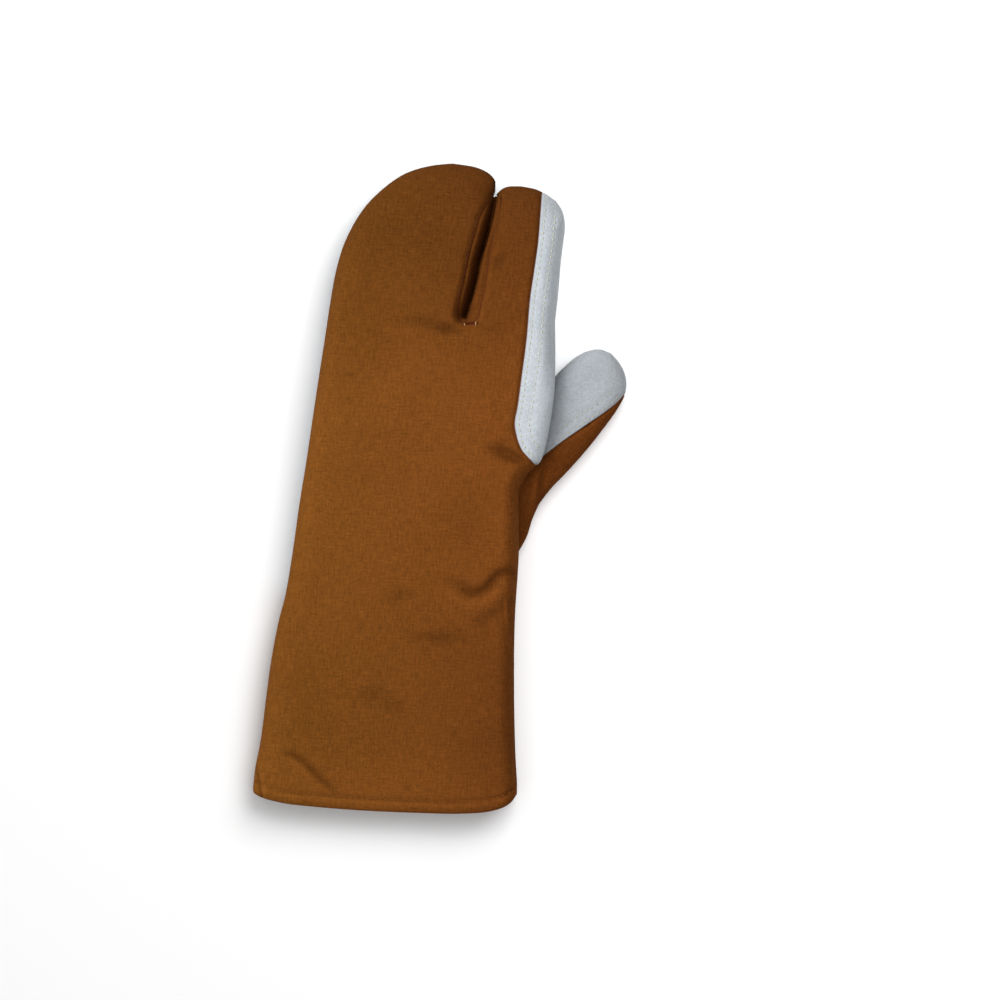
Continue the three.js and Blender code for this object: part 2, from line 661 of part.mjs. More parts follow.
function gauntletPalmPanel() {
  const wall = new Wall(surface, clothThickness, keepLow);
  const gap = SEAM_GAP / 2;
  const rows = [...GAUNTLET_ROWS.slice(0, -1), LEATHER_START_Y - SEAM_GAP];
  const fractions = spread(LEFT_COLUMNS, nearStart);
  const patch = rows.map((y) => {
    const edges = { start: LEFT, endSeam: wrapX(y) };
    return section(y, bodyLeft(y), wrapX(y) - gap, fractions, -1, edges);
  });
  return toManifold(wall.patch(reversed(patch)).geometry());
}

function palmLeather() {
  const wall = new Wall(surface, leatherThickness, keepLow);
  const gap = SEAM_GAP / 2;
  const leftSpread = spread(LEFT_COLUMNS, nearStart);
  const rightSpread = spread(RIGHT_COLUMNS, nearEnd);
  const fan = fanAngles.slice(1).map((a) => SLIT_BOTTOM_Y - PALM_SEAM_DROP * Math.sin(a));
  const left = [];
  const right = [];
  const strip = [];
  [...HAND_ROWS, ...fan].forEach((y) => {
    const innerLeft = slitSeamX(y, "palmLeft", PALM_SEAM_DROP, -1, gap);
    const innerRight = slitSeamX(y, "palmRight", PALM_SEAM_DROP, 1, gap);
    const onEdge = y >= WRAP_END_Y;
    const outer = onEdge ? bodyRight(y) : wrapX(y) - gap;
    const slitLeft = innerLeft + gap;
    const slitRight = innerRight - gap;
    const far = onEdge ? { end: RIGHT } : { endSeam: wrapX(y) };
    left.push(section(y, bodyLeft(y), innerLeft, leftSpread, -1, { start: LEFT, endSeam: slitLeft }));
    right.push(section(y, innerRight, outer, rightSpread, -1, { startSeam: slitRight, ...far }));
    if (y >= STRIP_START_Y) {
      const edges = { end: RIGHT, startSeam: stripX(y) };
      strip.push(section(y, stripX(y) + gap, bodyRight(y), spread(EDGE_COLUMNS, nearEnd), 1, edges));
    }
  });
  const lobeSeam = { key: "palmLeft", drop: PALM_SEAM_DROP, gap };
  const indexSeam = { key: "palmRight", drop: PALM_SEAM_DROP, gap };
  fingerSteps(lobe).forEach((t) => left.push(fingerRow(lobe, t, -1, lobeSeam, leftSpread, -1)));
  fingerSteps(index).forEach((t) => {
    right.push(fingerRow(index, t, 1, indexSeam, rightSpread, -1));
    const edge = { x: index.rx(t), y: index.ry(t) };
    const seam = stripX(edge.y) + gap;
    if (edge.x > seam + STRIP_LEAST_WIDTH) {
      const out = { x: edge.x - INDEX_CENTRE.x, y: t < TURN_FROM ? 0 : edge.y - INDEX_CENTRE.y };
      strip.push(spread(EDGE_COLUMNS, nearEnd).map((f, i) => {
        const x = mix(seam, edge.x, f);
        const line = i === 0 ? x - gap : x;
        return { x, y: edge.y, side: i === EDGE_COLUMNS ? 0 : 1, out, seam: { x: line, y: edge.y } };
      }));
    }
  });
  wall.patch(reversed(left)).patch(reversed(right)).patch(strip);
  return toManifold(wall.geometry());
}

// The strip in the slit: down the lobe's wall, round the slit's bottom, up the index's wall
function fingerFourchette() {
  const wall = new Wall(surface, gussetThickness, raiseGusset);
  const gap = SEAM_GAP / 2 + GUSSET_EASE;
  const branch = (hand, names) => {
    const finger = hand < 0 ? lobe : index;
    const heights = fingerSteps(finger)
      .map((t) => (hand < 0 ? finger.ry(t) : finger.ly(t)))
      .filter((y) => y <= GUSSET_END_Y + SLACK);
    const rows = [SLIT_BOTTOM_Y, ...heights].map((y) => {
      const back = seamOff(names.back)(y) - gap;
      const palm = seamOff(names.palm)(y) - gap;
      return { y, back, palm, hand };
    });
    return rows.reverse();
  };
  const across = (place, back, palm, out) => {
    const points = [];
    const point = (off, i, side) => {
      const spot = place(off * nearStart(i / GUSSET_COLUMNS));
      return { ...spot, side, out, seam: i === GUSSET_COLUMNS ? place(off + gap) : spot };
    };
    for (let i = GUSSET_COLUMNS; i > 0; i -= 1) points.push(point(back, i, 1));
    points.push({ ...place(0), side: 0, out });
    for (let i = 1; i <= GUSSET_COLUMNS; i += 1) points.push(point(palm, i, -1));
    return points;
  };
  const straight = (row) => across(
    (off) => ({ x: slitX(row.y) + row.hand * (HALF_SLIT + off), y: row.y }),
    row.back,
    row.palm,
    { x: -row.hand, y: 0 },
  );
  const fan = [];
  const turns = FAN_ROWS * 2;
  for (let i = 1; i < turns; i += 1) {
    const angle = Math.PI * (i / turns);
    const hand = angle < Math.PI / 2 ? -1 : 1;
    const names = hand < 0 ? ["backLeft", "palmLeft"] : ["backRight", "palmRight"];
    const [backOff, palmOff] = names.map((name) => seamOff(name)(SLIT_BOTTOM_Y) - gap);
    const centre = slitX(SLIT_BOTTOM_Y);
    const reach = (off, drop, share) => {
      const wide = HALF_SLIT + off * share;
      const deep = HALF_SLIT + (drop - HALF_SLIT - gap) * share;
      return { x: centre - Math.cos(angle) * wide, y: SLIT_BOTTOM_Y - Math.sin(angle) * deep };
    };
    const out = { x: Math.cos(angle), y: Math.sin(angle) };
    const points = [];
    for (let k = GUSSET_COLUMNS; k > 0; k -= 1) {
      points.push({ ...reach(backOff, BACK_SEAM_DROP, nearStart(k / GUSSET_COLUMNS)), side: 1, out });
    }
    points.push({ ...reach(backOff, BACK_SEAM_DROP, 0), side: 0, out });
    for (let k = 1; k <= GUSSET_COLUMNS; k += 1) {
      points.push({ ...reach(palmOff, PALM_SEAM_DROP, nearStart(k / GUSSET_COLUMNS)), side: -1, out });
    }
    fan.push(points);
  }
  const down = branch(-1, { back: "backLeft", palm: "palmLeft" }).map(straight);
  const up = branch(1, { back: "backRight", palm: "palmRight" }).map(straight).reverse();
  return toManifold(wall.patch(reversed([...down, ...fan, ...up])).geometry());
}

// The thumb's sections. Seen from above, n runs to the outside and s to the tip.
function thumbRows(last) {
  const first = THUMB[0].s;
  const count = Math.round((THUMB_BACK_END - first) / THUMB_STEP);
  const rows = Array.from({ length: count + 1 }, (_, i) => mix(first, THUMB_BACK_END, i / count));
  const tip = THUMB[THUMB.length - 1].s;
  for (let i = 1; i <= THUMB_TIP_ROWS; i += 1) {
    rows.push(mix(THUMB_BACK_END, tip, nearEnd(i / THUMB_TIP_ROWS)));
  }
  return rows.filter((s) => s <= last);
}

function thumbPoints(s, n0, n1, fractions, side, edges) {
  return fractions.map((t, i) => {
    const n = mix(n0, n1, t);
    const atStart = i === 0;
    const atEnd = i === fractions.length - 1;
    const apex = s >= THUMB[THUMB.length - 1].s;
    const on = apex || (atStart && edges.start) || (atEnd && edges.end);
    const ahead = Math.max(0, s - THUMB_TURN_FROM) * THUMB_TURN;
    const gap = (atStart ? -1 : 1) * (atStart || atEnd ? SEAM_GAP / 2 : 0);
    const seam = { x: s, y: on ? n : n + gap };
    return { x: s, y: n, side: on ? 0 : side, out: { x: ahead, y: n }, seam };
  });
}

function placeThumb(geometry) {
  const position = geometry.attributes.position;
  for (let i = 0; i < position.count; i += 1) {
    const spot = fromThumb(position.getX(i), position.getY(i));
    position.setXY(i, spot.x, spot.y);
  }
  return geometry;
}

function thumbLeather() {
  const gap = SEAM_GAP / 2;
  const wall = new Wall(thumbSurface, leatherThickness, keepLow);
  const top = [];
  const under = [];
  thumbRows(Infinity).forEach((s) => {
    const tip = s > THUMB_BACK_END;
    const upper = tip ? thumbOuter(s) : thumbSeam(s) - gap;
    const lower = tip ? thumbOuter(s) : thumbOuter(s) - thumbMargin(s) - gap;
    const both = { start: true, end: tip };
    top.push(thumbPoints(s, thumbInner(s), upper, spread(THUMB_COLUMNS, nearStart), 1, both));
    under.push(thumbPoints(s, thumbInner(s), lower, spread(THUMB_COLUMNS, nearStart), -1, both));
  });
  wall.patch(top).patch(reversed(under));
  return toManifold(placeThumb(wall.geometry()));
}

function thumbBack() {
  const gap = SEAM_GAP / 2;
  const wall = new Wall(thumbSurface, () => CLOTH, keepLow);
  const top = [];
  const under = [];
  thumbRows(THUMB_BACK_END).forEach((s) => {
    const upper = thumbSeam(s) + gap;
    const lower = thumbOuter(s) - thumbMargin(s) + gap;
    top.push(thumbPoints(s, upper, thumbOuter(s), spread(THUMB_COLUMNS - 1, nearEnd), 1, { end: true }));
    under.push(thumbPoints(s, lower, thumbOuter(s), spread(EDGE_COLUMNS - 1, nearEnd), -1, { end: true }));
  });
  wall.patch(top).patch(reversed(under));
  return toManifold(placeThumb(wall.geometry()));
}

// A closed solid between two height fields over rows of plan points
function fillBetween(rows, above, below) {
  const position = [];
  const triangles = [];
  const columns = rows[0].length;
  const count = rows.length * columns;
  rows.flat().forEach((p) => position.push(p.x, p.y, above(p)));
  rows.flat().forEach((p) => position.push(p.x, p.y, below(p)));
  const quad = (a, b, c, d) => triangles.push(a, b, c, a, c, d);
  const at = (j, i) => j * columns + i;
  for (let j = 1; j < rows.length; j += 1) {
    for (let i = 1; i < columns; i += 1) {
      const ring = [at(j - 1, i - 1), at(j - 1, i), at(j, i), at(j, i - 1)];
      quad(...ring);
      quad(...ring.map((k) => k + count).reverse());
    }
    const last = columns - 1;
    quad(at(j, 0), at(j, 0) + count, at(j - 1, 0) + count, at(j - 1, 0));
    quad(at(j - 1, last), at(j - 1, last) + count, at(j, last) + count, at(j, last));
  }
  for (let i = 1; i < columns; i += 1) {
    const end = rows.length - 1;
    quad(at(0, i - 1), at(0, i - 1) + count, at(0, i) + count, at(0, i));
    quad(at(end, i), at(end, i) + count, at(end, i - 1) + count, at(end, i - 1));
  }
  const geometry = new THREE.BufferGeometry();
  geometry.setAttribute("position", new THREE.Float32BufferAttribute(position, 3));
  geometry.setIndex(triangles);
  return geometry;
}

// The thumb's outer form, a little grown: the hole it needs in the hand's wall
function thumbForm() {
  const fractions = spread(THUMB_HOLE_COLUMNS, nearBoth);
  const sections = thumbRows(THUMB[THUMB.length - 1].s - THUMB_HOLE_STOPS_SHORT);
  const rows = [sections[0] - 2 * THUMB_GROW, ...sections].map((s) => fractions.map((f) => ({
    x: s,
    y: mix(thumbInner(s) - THUMB_GROW, thumbOuter(s) + THUMB_GROW, f),
    edge: f === 0 || f === 1,
  })));
  const rise = (p, side) => thumbSurface(p.x, p.y, p.edge ? 0 : side) + side * THUMB_GROW;
  const geometry = fillBetween(rows, (p) => rise(p, 1), (p) => rise(p, -1));
  return toManifold(placeThumb(geometry));
}

// The hollow of the hand where the thumb opens into it
function handHollow() {
  const fractions = spread(HOLLOW_COLUMNS, nearBoth);
  const rows = Array.from({ length: HOLLOW_SECTIONS }, (_, i) => {
    const y = mix(HOLLOW_FROM_Y, HOLLOW_TO_Y, i / (HOLLOW_SECTIONS - 1));
    return fractions.map((f) => ({
      x: mix(bodyLeft(y) + HOLLOW_INSET, bodyRight(y) - HOLLOW_INSET, f),
      y,
    }));
  });
  const above = (p) => Math.max(surface(p.x, p.y, 1) - HOLLOW_INSET, surface(p.x, p.y, 0) + THINNEST);
  const below = (p) => Math.min(surface(p.x, p.y, -1) + HOLLOW_LIFT, surface(p.x, p.y, 0) - THINNEST);
  return toManifold(fillBetween(rows, above, below));
}

// Drops the crumbs that a cut can leave
function mainBody(solid) {
  return solid.decompose().reduce((best, body) => (body.volume() > best.volume() ? body : best));
}

const CLOTH_COLOUR = 0x7a4a1f;
const LEATHER_COLOUR = 0xc3cbd2;
const matt = (name, color) => new THREE.MeshStandardMaterial({ name, color, roughness: 0.9, metalness: 0 });
const cloth = (name) => matt(name, CLOTH_COLOUR);
const leather = (name) => matt(name, LEATHER_COLOUR);

const thumbHole = thumbForm();
const hollow = handHollow();
const PIECES = [
  { name: "back_panel", solid: backPanel().subtract(thumbHole), material: cloth("back_cloth") },
  { name: "gauntlet_palm_panel", solid: gauntletPalmPanel(), material: cloth("gauntlet_cloth") },
  { name: "palm_leather", solid: palmLeather().subtract(thumbHole), material: leather("palm_leather") },
  { name: "finger_fourchette", solid: fingerFourchette(), material: cloth("gusset_cloth") },
  { name: "thumb_leather", solid: thumbLeather().subtract(hollow), material: leather("thumb_leather") },
  { name: "thumb_back", solid: thumbBack().subtract(hollow), material: cloth("thumb_cloth") },
];

const glove = new THREE.Group();
PIECES.forEach(({ name, solid, material }) => {
  const mesh = new THREE.Mesh(fromManifold(mainBody(solid)), material);
  mesh.name = name;
  glove.add(mesh);
});

const box = new THREE.Box3().setFromObject(glove);
const middle = box.getCenter(new THREE.Vector3());
glove.position.set(-middle.x, -middle.y, -box.min.z);

export default glove;
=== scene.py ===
# Padded gauntlet mitt of brown cotton and split leather, left hand, lying palm down.
# Metres. +X points to the thumb side, +Y to the fingertips, +Z up. The tables count
# millimetres in plan from the hem, and mesh_object turns them into the frame's metres.

import bpy
import numpy as np
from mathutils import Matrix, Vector


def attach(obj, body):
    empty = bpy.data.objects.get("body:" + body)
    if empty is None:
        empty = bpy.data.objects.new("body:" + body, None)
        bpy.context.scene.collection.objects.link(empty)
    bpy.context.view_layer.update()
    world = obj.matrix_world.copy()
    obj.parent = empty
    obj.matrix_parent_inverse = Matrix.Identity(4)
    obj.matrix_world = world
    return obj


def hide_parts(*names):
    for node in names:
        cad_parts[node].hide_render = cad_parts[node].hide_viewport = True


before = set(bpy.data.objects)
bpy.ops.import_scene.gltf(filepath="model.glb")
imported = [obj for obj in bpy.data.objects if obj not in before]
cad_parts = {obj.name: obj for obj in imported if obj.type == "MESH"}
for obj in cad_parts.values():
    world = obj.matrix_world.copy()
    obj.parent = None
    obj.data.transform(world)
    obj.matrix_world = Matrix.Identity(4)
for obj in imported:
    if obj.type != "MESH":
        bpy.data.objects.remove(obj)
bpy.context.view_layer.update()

bl_info = {
    "name": "Padded gauntlet mitt",
    "version": (1, 0, 0),
    "blender": (4, 5, 0),
    "location": "3D View > Sidebar > Mitt",
    "description": "Builds a cotton and split leather mitt and its plain stage",
    "category": "Object",
}

MM = 0.001
ORIGIN = np.array([22.7023, 191.7903, 0.0])

# Outline tables, mm
BODY = {
    "y": (0, 7, 19, 37, 60, 82, 107, 124, 150, 176, 192, 203, 212, 232, 255, 275, 294.5),
    "left": (
        -77.0, -80.4, -79.9, -77.5, -75.9, -74.3, -71.2, -67.9, -65.1, -63.0, -61.4, -60.2,
        -59.4, -57.7, -55.6, -53.7, -52.0,
    ),
    "right": (
        75.4, 75.6, 75.2, 73.2, 71.2, 69.7, 68.4, 68.0, 68.2, 67.0, 66.4, 70.5, 78.0, 81.7,
        83.3, 82.6, 81.3,
    ),
    "height": (25, 27, 29, 31, 32, 32, 32, 33, 35, 36, 37, 38, 38, 39, 39, 38, 37),
}
LOBE = {
    "lx": (-52.0, -50.1, -46.7, -42.1, -35.4, -26.0, -13.0, -3.9, 6.0, 15.5),
    "ly": (294.5, 312, 329, 341.5, 354, 365.2, 375.8, 379.9, 382.6, 384),
    "rx": (27.3, 31.5, 34.2, 37.0, 39.3, 41.1, 41.7, 38.4, 28.0, 15.5),
    "ry": (294.5, 312, 329, 341.5, 354, 366, 373.8, 378.5, 382.8, 384),
    "height": (37, 36, 35, 34, 32, 30, 27, 25.5, 23.5, 22),
}
INDEX = {
    "lx": (28.7, 32.9, 35.6, 38.4, 40.0, 41.2, 41.8, 44.7, 49.6, 56.5),
    "ly": (294.5, 312, 329, 341.5, 350, 358, 366, 370.2, 372.5, 373),
    "rx": (81.3, 82.2, 82.6, 83.4, 83.9, 82.4, 78.2, 71.0, 64.5, 56.5),
    "ry": (294.5, 312, 329, 341.5, 350, 358, 364.5, 369.4, 371.9, 373),
    "height": (37, 36, 34, 33, 31, 29, 26, 24, 22.5, 21),
}
SLIT = {"y": (294.5, 312, 329, 341.5, 354, 366), "x": (28.0, 32.2, 34.9, 37.7, 40.0, 41.4)}
SLIT_SEAMS = {
    "y": (294.5, 306, 325, 340, 350, 360, 366),
    "back_left": (2.9, 5.4, 5.9, 6.2, 6.0, 3.2, 0.8),
    "back_right": (7.2, 6.2, 4.7, 3.4, 2.6, 1.6, 0.8),
    "palm_left": (7.2, 7.0, 5.6, 4.2, 3.2, 1.8, 0.8),
    "palm_right": (7.2, 6.6, 5.4, 4.0, 3.0, 1.7, 0.8),
}
STRIP_SEAM = {
    "y": (209, 211, 213.5, 217, 225, 233, 242, 262, 284, 304, 321, 342, 371),
    "x": (74.8, 72.8, 69.8, 66.4, 62.8, 61.2, 62.3, 63.8, 65.3, 65.8, 67.2, 68.8, 69.4),
}
WRAP_SEAM = {
    "y": (0, 37, 82, 124, 150, 160, 171),
    "x": (50.6, 48.6, 45.4, 44.0, 44.4, 46.0, 52.4),
}
HEM_LINE = {
    "x": (-80, -74, -54, -15, 33, 54, 66, 72, 75.4),
    "y": (6.0, 3.6, 0.7, -0.2, 0.8, 2.6, 5.8, 9.6, 14.5),
}
FOLDS = {
    "x": (18, 3, 48, 57, 66, 25, 0.7, -12, 1, 26, 22, 47, 60, -8, 36),
    "y": (285.8, 289, 288, 214.5, 211, 103.5, 127, 68.5, 62, 331, 317, 327, 296, 252, 172),
    "long": (9, 9, 9, 9, 5, 16, 7, 9, 9, 7, 6, 5, 8, 24, 22),
    "wide": (2.9, 2.8, 3.4, 3.4, 2.6, 3.6, 3.8, 5, 5, 2.0, 1.8, 2.6, 2.8, 12, 14),
    "turn": (-7, 2, 4, -20, -8, 2, 6, 20, -12, -25, -12, 35, 8, 60, 70),
    "depth": (-2.6, -1.1, -0.9, -3.2, -1.8, -1.5, -1.3, -1.1, -1.1, -0.9, -0.8, -1.7, -0.6, 1.0, -0.8),
}
CREASES = (
    {
        "x": (-66, -58, -51.9, -43.8, -35, -28.0), "y": (31.6, 30.2, 27.7, 20.4, 12.6, 6.5),
        "depth": 2.6, "wide": 1.5, "ridge": -0.8,
    },
    {
        "x": (13, 33.3, 43.2, 50.2, 54.4, 58.3, 62.5, 66.5, 71),
        "y": (142, 136, 131.2, 134.2, 139.6, 143.8, 145, 144, 142.5),
        "depth": 2.7, "wide": 3.1, "ridge": -0.9,
    },
    {
        "x": (43, 50, 58, 63, 66), "y": (111.5, 115.5, 121, 127, 133),
        "depth": 0.9, "wide": 3.6, "ridge": 0.7,
    },
    {"x": (-79.8, -76.4, -73.0), "y": (26.0, 12.0, -2.0), "depth": 2.2, "wide": 0.9, "ridge": 1.5},
)
THUMB = {
    "s": (-28, -13, 0, 10, 20, 31, 45, 60, 78, 86, 90, 96, 101, 104.4, 105.8),
    "inner": (
        -1.0, -9.5, -16.5, -19.6, -20.0, -20.2, -20.6, -21.0, -20.2, -18.6, -17.6, -15.2,
        -11.6, -7.0, -1.2,
    ),
    "outer": (
        22.0, 20.6, 16.8, 15.2, 15.7, 17.4, 19.2, 20.4, 20.9, 20.4, 19.6, 16.8, 11.8, 5.0,
        -1.2,
    ),
    "height": (17, 19, 21, 22, 22, 22, 22, 22, 21, 20, 19, 18, 17, 16, 15),
    "seam": (-5.0, -5.0, -5.0, -4.8, -4.0, 0.0, 4.5, 10.0, 16.6, 18.6, 18.9, 16.8, 11.8, 5.0, -1.2),
    "margin": (16, 15.5, 14, 12, 10.5, 9, 7.3, 5.6, 3.4, 2.0, 0.8, 0, 0, 0, 0),
}

# Rounding of the forms, mm, and shares of the height
EDGE_REACH = 13.0
FOLD_REACH = 11.0
TIP_REACH = 20.0
SLIT_REACH = 8.5
THUMB_REACH = 15.0
RELIEF_FADE = 0.8
SEAM_HEIGHT = 0.44
THUMB_SEAM_HEIGHT = 0.5
TOP_POWER = 2.3
UNDER_POWER = 2.6
UNDER_TIGHTNESS = 1.7
UNDER_OVERSHOOT = 1.07
LOBE_TIP_START = 0.5
INDEX_TIP_START = 0.69
FINGER_BLEND = 16.0
CREASE_FADE = 0.25
RIDGE_PLACE = 2.6
RIDGE_WIDTH = 1.5

# Slit, seams and thumb, mm and radians
HALF_SLIT = 1.1
SLIT_BOTTOM_Y = SLIT["y"][0]
SEAM_DROPS = {"back": 5.0, "palm": 7.5}
GUSSET_END_Y = SLIT["y"][-1]
WRAP_END_Y = WRAP_SEAM["y"][-1]
LEATHER_START_Y = 124.0
STRIP_START_Y = STRIP_SEAM["y"][0]
THUMB_ROOT = (61.0, 186.9)
THUMB_LEAN = np.radians(58.3)
THUMB_BACK_END = 90.0
THUMB_TIP = THUMB["s"][-1]
CROTCH_LOW_Y = 203.0
CROTCH_HIGH_Y = 214.0
PALM_LIFT = 23.6
LIFT_OUTSIDE = 14.0
LIFT_INSIDE = 7.0
THUMB_HALF_WIDTH = 20.0
HEM_FADE_Y = 60.0
SEAM_GAP = 0.5
SEAM_TUCK = 1.2
TUCK_FADE = 13.0
TIP_CENTRE = 25.0
STRIP_LAP = 1.2
STRIP_TIP_LAP = 0.6
TIP_LAP_Y = 360.0
TIP_LAP_FADE = 8.0
THUMB_LAP = 1.2
GUSSET_LAP = 0.9
PANEL_GAP = 0.25
EDGE_ROOM = 0.5
INNER_ROOM = 0.6
THUMB_GROW = 0.4
HOLLOW_UNDER = 2.7
HOLLOW_WALL = 3.2
WALLS_MEET = -0.05
OUTLINE_MARGIN = 0.12

# Meshes and sewn rows, mm
POINTS_AT_A_TIME = 2000
PLACES_PER_MM = 200
PLAN_SLACK = 1.06
SLOPE_STEP = 0.25
FOOT_ROWS = 8
FINGER_ROWS = 46
THUMB_TIP_ROWS = 18
GUSSET_TURNS = 24
HEM_ROW = 7.4
STRIP_ROWS = (2.2, 8.2)
LEATHER_ROWS = (2.0, 6.8)
STRIP_ROW_END_Y = 369.0
STRIP_ROW_ROOM = 0.8
STITCH_SIDES = 6
PALM_ROW_X = (-65.5, 42.5)
THUMB_ROW_S = (24.0, 88.0)
HEM_ROWS = ((-75.5, 71.5, 120, 1), (-74.0, 48.5, 100, -1), (52.0, 70.0, 30, -1))
SLIT_THREAD_END_Y = 364.5
SLIT_THREAD_RADIUS = 0.33
SLIT_THREAD_SINK = 0.15
SLIT_THREAD_SIDES = 8
TACK = {"x": (27.4, 35.6), "y": 288.7, "rise": 0.15, "length": 2.6, "radius": 0.34, "count": 12}
TACK_ENDS = (1, 10)

# Tints of the cotton: painted light towards the left and painted shade towards the right; and the painted
# shade along the leather's cut edge
LIT_LEFT_TINT = (0.95, 1.06, 0.9)
SHADED_RIGHT_TINT = (1.0, 0.95, 0.95)
CUT_EDGE_SHADE = (0.2, 0.13, 0.14, 1)

# Stage, m
FLOOR_HALF = 4.0
FLOOR_DROP = 0.0002
MIDDLE_HEIGHT = 0.018
VIEW_CENTRE = (0.0324, -0.0047)
SENSOR_WIDTH = 36.0


def ease(t):
    """Smooth step from 0 to 1: three t squared minus two t cubed, held outside 0 to 1."""
    c = np.clip(t, 0.0, 1.0)
    return c * c * (3.0 - 2.0 * c)


def mix(a, b, t):
    """The straight blend from a to b."""
    return a + (b - a) * t


def bump(distance, width):
    """A bell: e to the power of minus (distance over width) squared."""
    return np.exp(-((distance / width) ** 2))


def unit(vectors):
    """The vectors made one unit long."""
    return vectors / np.maximum(1e-9, np.linalg.norm(vectors, axis=1))[:, None]


def by_side(side, top, under, middle):
    """One value where side is above 0, one where it is below 0, and one where it is 0."""
    return np.where(side > 0, top, np.where(side < 0, under, middle))


def steps(values, axis):
    """Each value less the one before it, and 0 at the start."""
    return np.diff(values, axis=axis, prepend=np.take(values, [0], axis))


def curve(at, values):
    """A cubic through a table's points whose slopes are the harmonic mean of the two
    neighbouring rises, or 0 where they differ in sign, so it never overshoots."""
    x, y = np.asarray(at, float), np.asarray(values, float)
    step = np.diff(x)
    rise = np.diff(y) / step
    product, total = rise[:-1] * rise[1:], rise[:-1] + rise[1:]
    inner = np.where(product > 0, 2 * product / np.where(total == 0, 1, total), 0.0)
    slope = np.concatenate([rise[:1], inner, rise[-1:]])

    def value(v):
        v = np.clip(v, x[0], x[-1])
        i = np.clip(np.searchsorted(x, v, side="right") - 1, 0, len(step) - 1)
        h = step[i]
        t = (v - x[i]) / h
        start = t * (1 - t) ** 2 * h
        end = t * t * (t - 1) * h
        lean = start * slope[i] + end * slope[i + 1]
        return (1 + 2 * t) * (1 - t) ** 2 * y[i] + t * t * (3 - 2 * t) * y[i + 1] + lean

    return value


def curves_over(table, key):
    """A curve over a table's column for each of its other columns."""
    return {other: curve(table[key], table[other]) for other in table if other != key}


def finger_curves(table):
    """A finger's section ends and height against the run along it: the mean length of its
    left and right sides, scaled to end at 1. The mouth is the run where the slit ends."""
    left = np.hypot(np.diff(table["lx"]), np.diff(table["ly"]))
    right = np.hypot(np.diff(table["rx"]), np.diff(table["ry"]))
    run = np.concatenate([[0.0], np.cumsum((left + right) / 2)])
    run = run / run[-1]
    curves = {key: curve(run, table[key]) for key in ("lx", "ly", "rx", "ry")}
    curves["height"] = curve(table["ly"], table["height"])
    near = "ry" if GUSSET_END_Y in table["ry"] else "ly"
    curves["mouth"] = run[table[near].index(GUSSET_END_Y)]
    return curves


body_left, body_right, body_height = curves_over(BODY, "y").values()
lobe = finger_curves(LOBE)
index = finger_curves(INDEX)
slit_x = curve(SLIT["y"], SLIT["x"])
strip_x = curve(STRIP_SEAM["y"], STRIP_SEAM["x"])
wrap_x = curve(WRAP_SEAM["y"], WRAP_SEAM["x"])
hem_line = curve(HEM_LINE["x"], HEM_LINE["y"])
seam_off = curves_over(SLIT_SEAMS, "y")
thumb = curves_over(THUMB, "s")


def stretches(x, y):
    """A line's points as the two ends of each stretch."""
    return x[:-1], y[:-1], x[1:], y[1:]


def beside(a, b, distance):
    """A plan line moved to its right by a distance, seen along it."""
    da, db = np.gradient(a), np.gradient(b)
    length = np.hypot(da, db)
    return a + db / length * distance, b - da / length * distance


def edge_pull(px, py, line):
    """For each point and each stretch of a line, the sum over the stretch of 1 over the
    cube of the distance: an endless straight edge gives 2 over its distance squared."""
    ax, ay, bx, by = line
    length = np.hypot(bx - ax, by - ay)
    ux, uy = (bx - ax) / length, (by - ay) / length
    dx, dy = px[:, None] - ax, py[:, None] - ay
    along = dx * ux + dy * uy
    off = np.maximum(1e-3, np.abs(dy * ux - dx * uy))
    near = (length - along) / (off * off * np.hypot(length - along, off))
    return near + along / (off * off * np.hypot(along, off))


def summed_pull(px, py, line, reach):
    """Half the reach squared times the pull, summed over the line, a block of points at
    a time."""
    blocks = max(1, len(px) // POINTS_AT_A_TIME)
    parts = zip(np.array_split(px, blocks), np.array_split(py, blocks))
    return np.concatenate([(0.5 * reach**2 * edge_pull(x, y, line)).sum(axis=1) for x, y in parts])


def outer_edge():
    """The mitt's outline: up the left edge, round both fingertips and down the right."""
    rows = [[-60.0, -30.0, -12.0], np.arange(-4, 44), np.linspace(44, SLIT_BOTTOM_Y, 80)]
    rows = np.concatenate(rows)
    up = np.arange(1, 61) / 60
    down = up[::-1][1:]
    lobe_down = down[lobe["ry"](down) >= GUSSET_END_Y]
    index_up = up[index["ly"](up) >= GUSSET_END_Y]
    lobe_reach = np.where(up < LOBE_TIP_START, EDGE_REACH, TIP_REACH)
    index_reach = np.where(down > INDEX_TIP_START, TIP_REACH, FOLD_REACH)
    parts = [
        (body_left(rows), rows, 0 * rows + EDGE_REACH),
        (lobe["lx"](up), lobe["ly"](up), lobe_reach),
        (lobe["rx"](lobe_down), lobe["ry"](lobe_down), 0 * lobe_down + TIP_REACH),
        (index["lx"](index_up), index["ly"](index_up), 0 * index_up + TIP_REACH),
        (index["rx"](down), index["ry"](down), index_reach),
        (body_right(rows[::-1]), rows[::-1], 0 * rows + FOLD_REACH),
    ]
    x, y, reach = map(np.concatenate, zip(*parts))
    return stretches(*beside(x, y, -OUTLINE_MARGIN)), reach[1:]


def thumb_edge():
    """The thumb's outline in its own plan: up the inner side and down the outer."""
    first = THUMB["s"][0] - 40.0
    s = THUMB_TIP - (THUMB_TIP - first) * (1 - np.arange(141) / 140) ** 1.6
    x = np.concatenate([s, s[::-1][1:]])
    y = np.concatenate([thumb["inner"](s), thumb["outer"](s)[::-1][1:]])
    return stretches(*beside(x, y, OUTLINE_MARGIN))


OUTER_EDGE, OUTER_REACH = outer_edge()
THUMB_EDGE = thumb_edge()


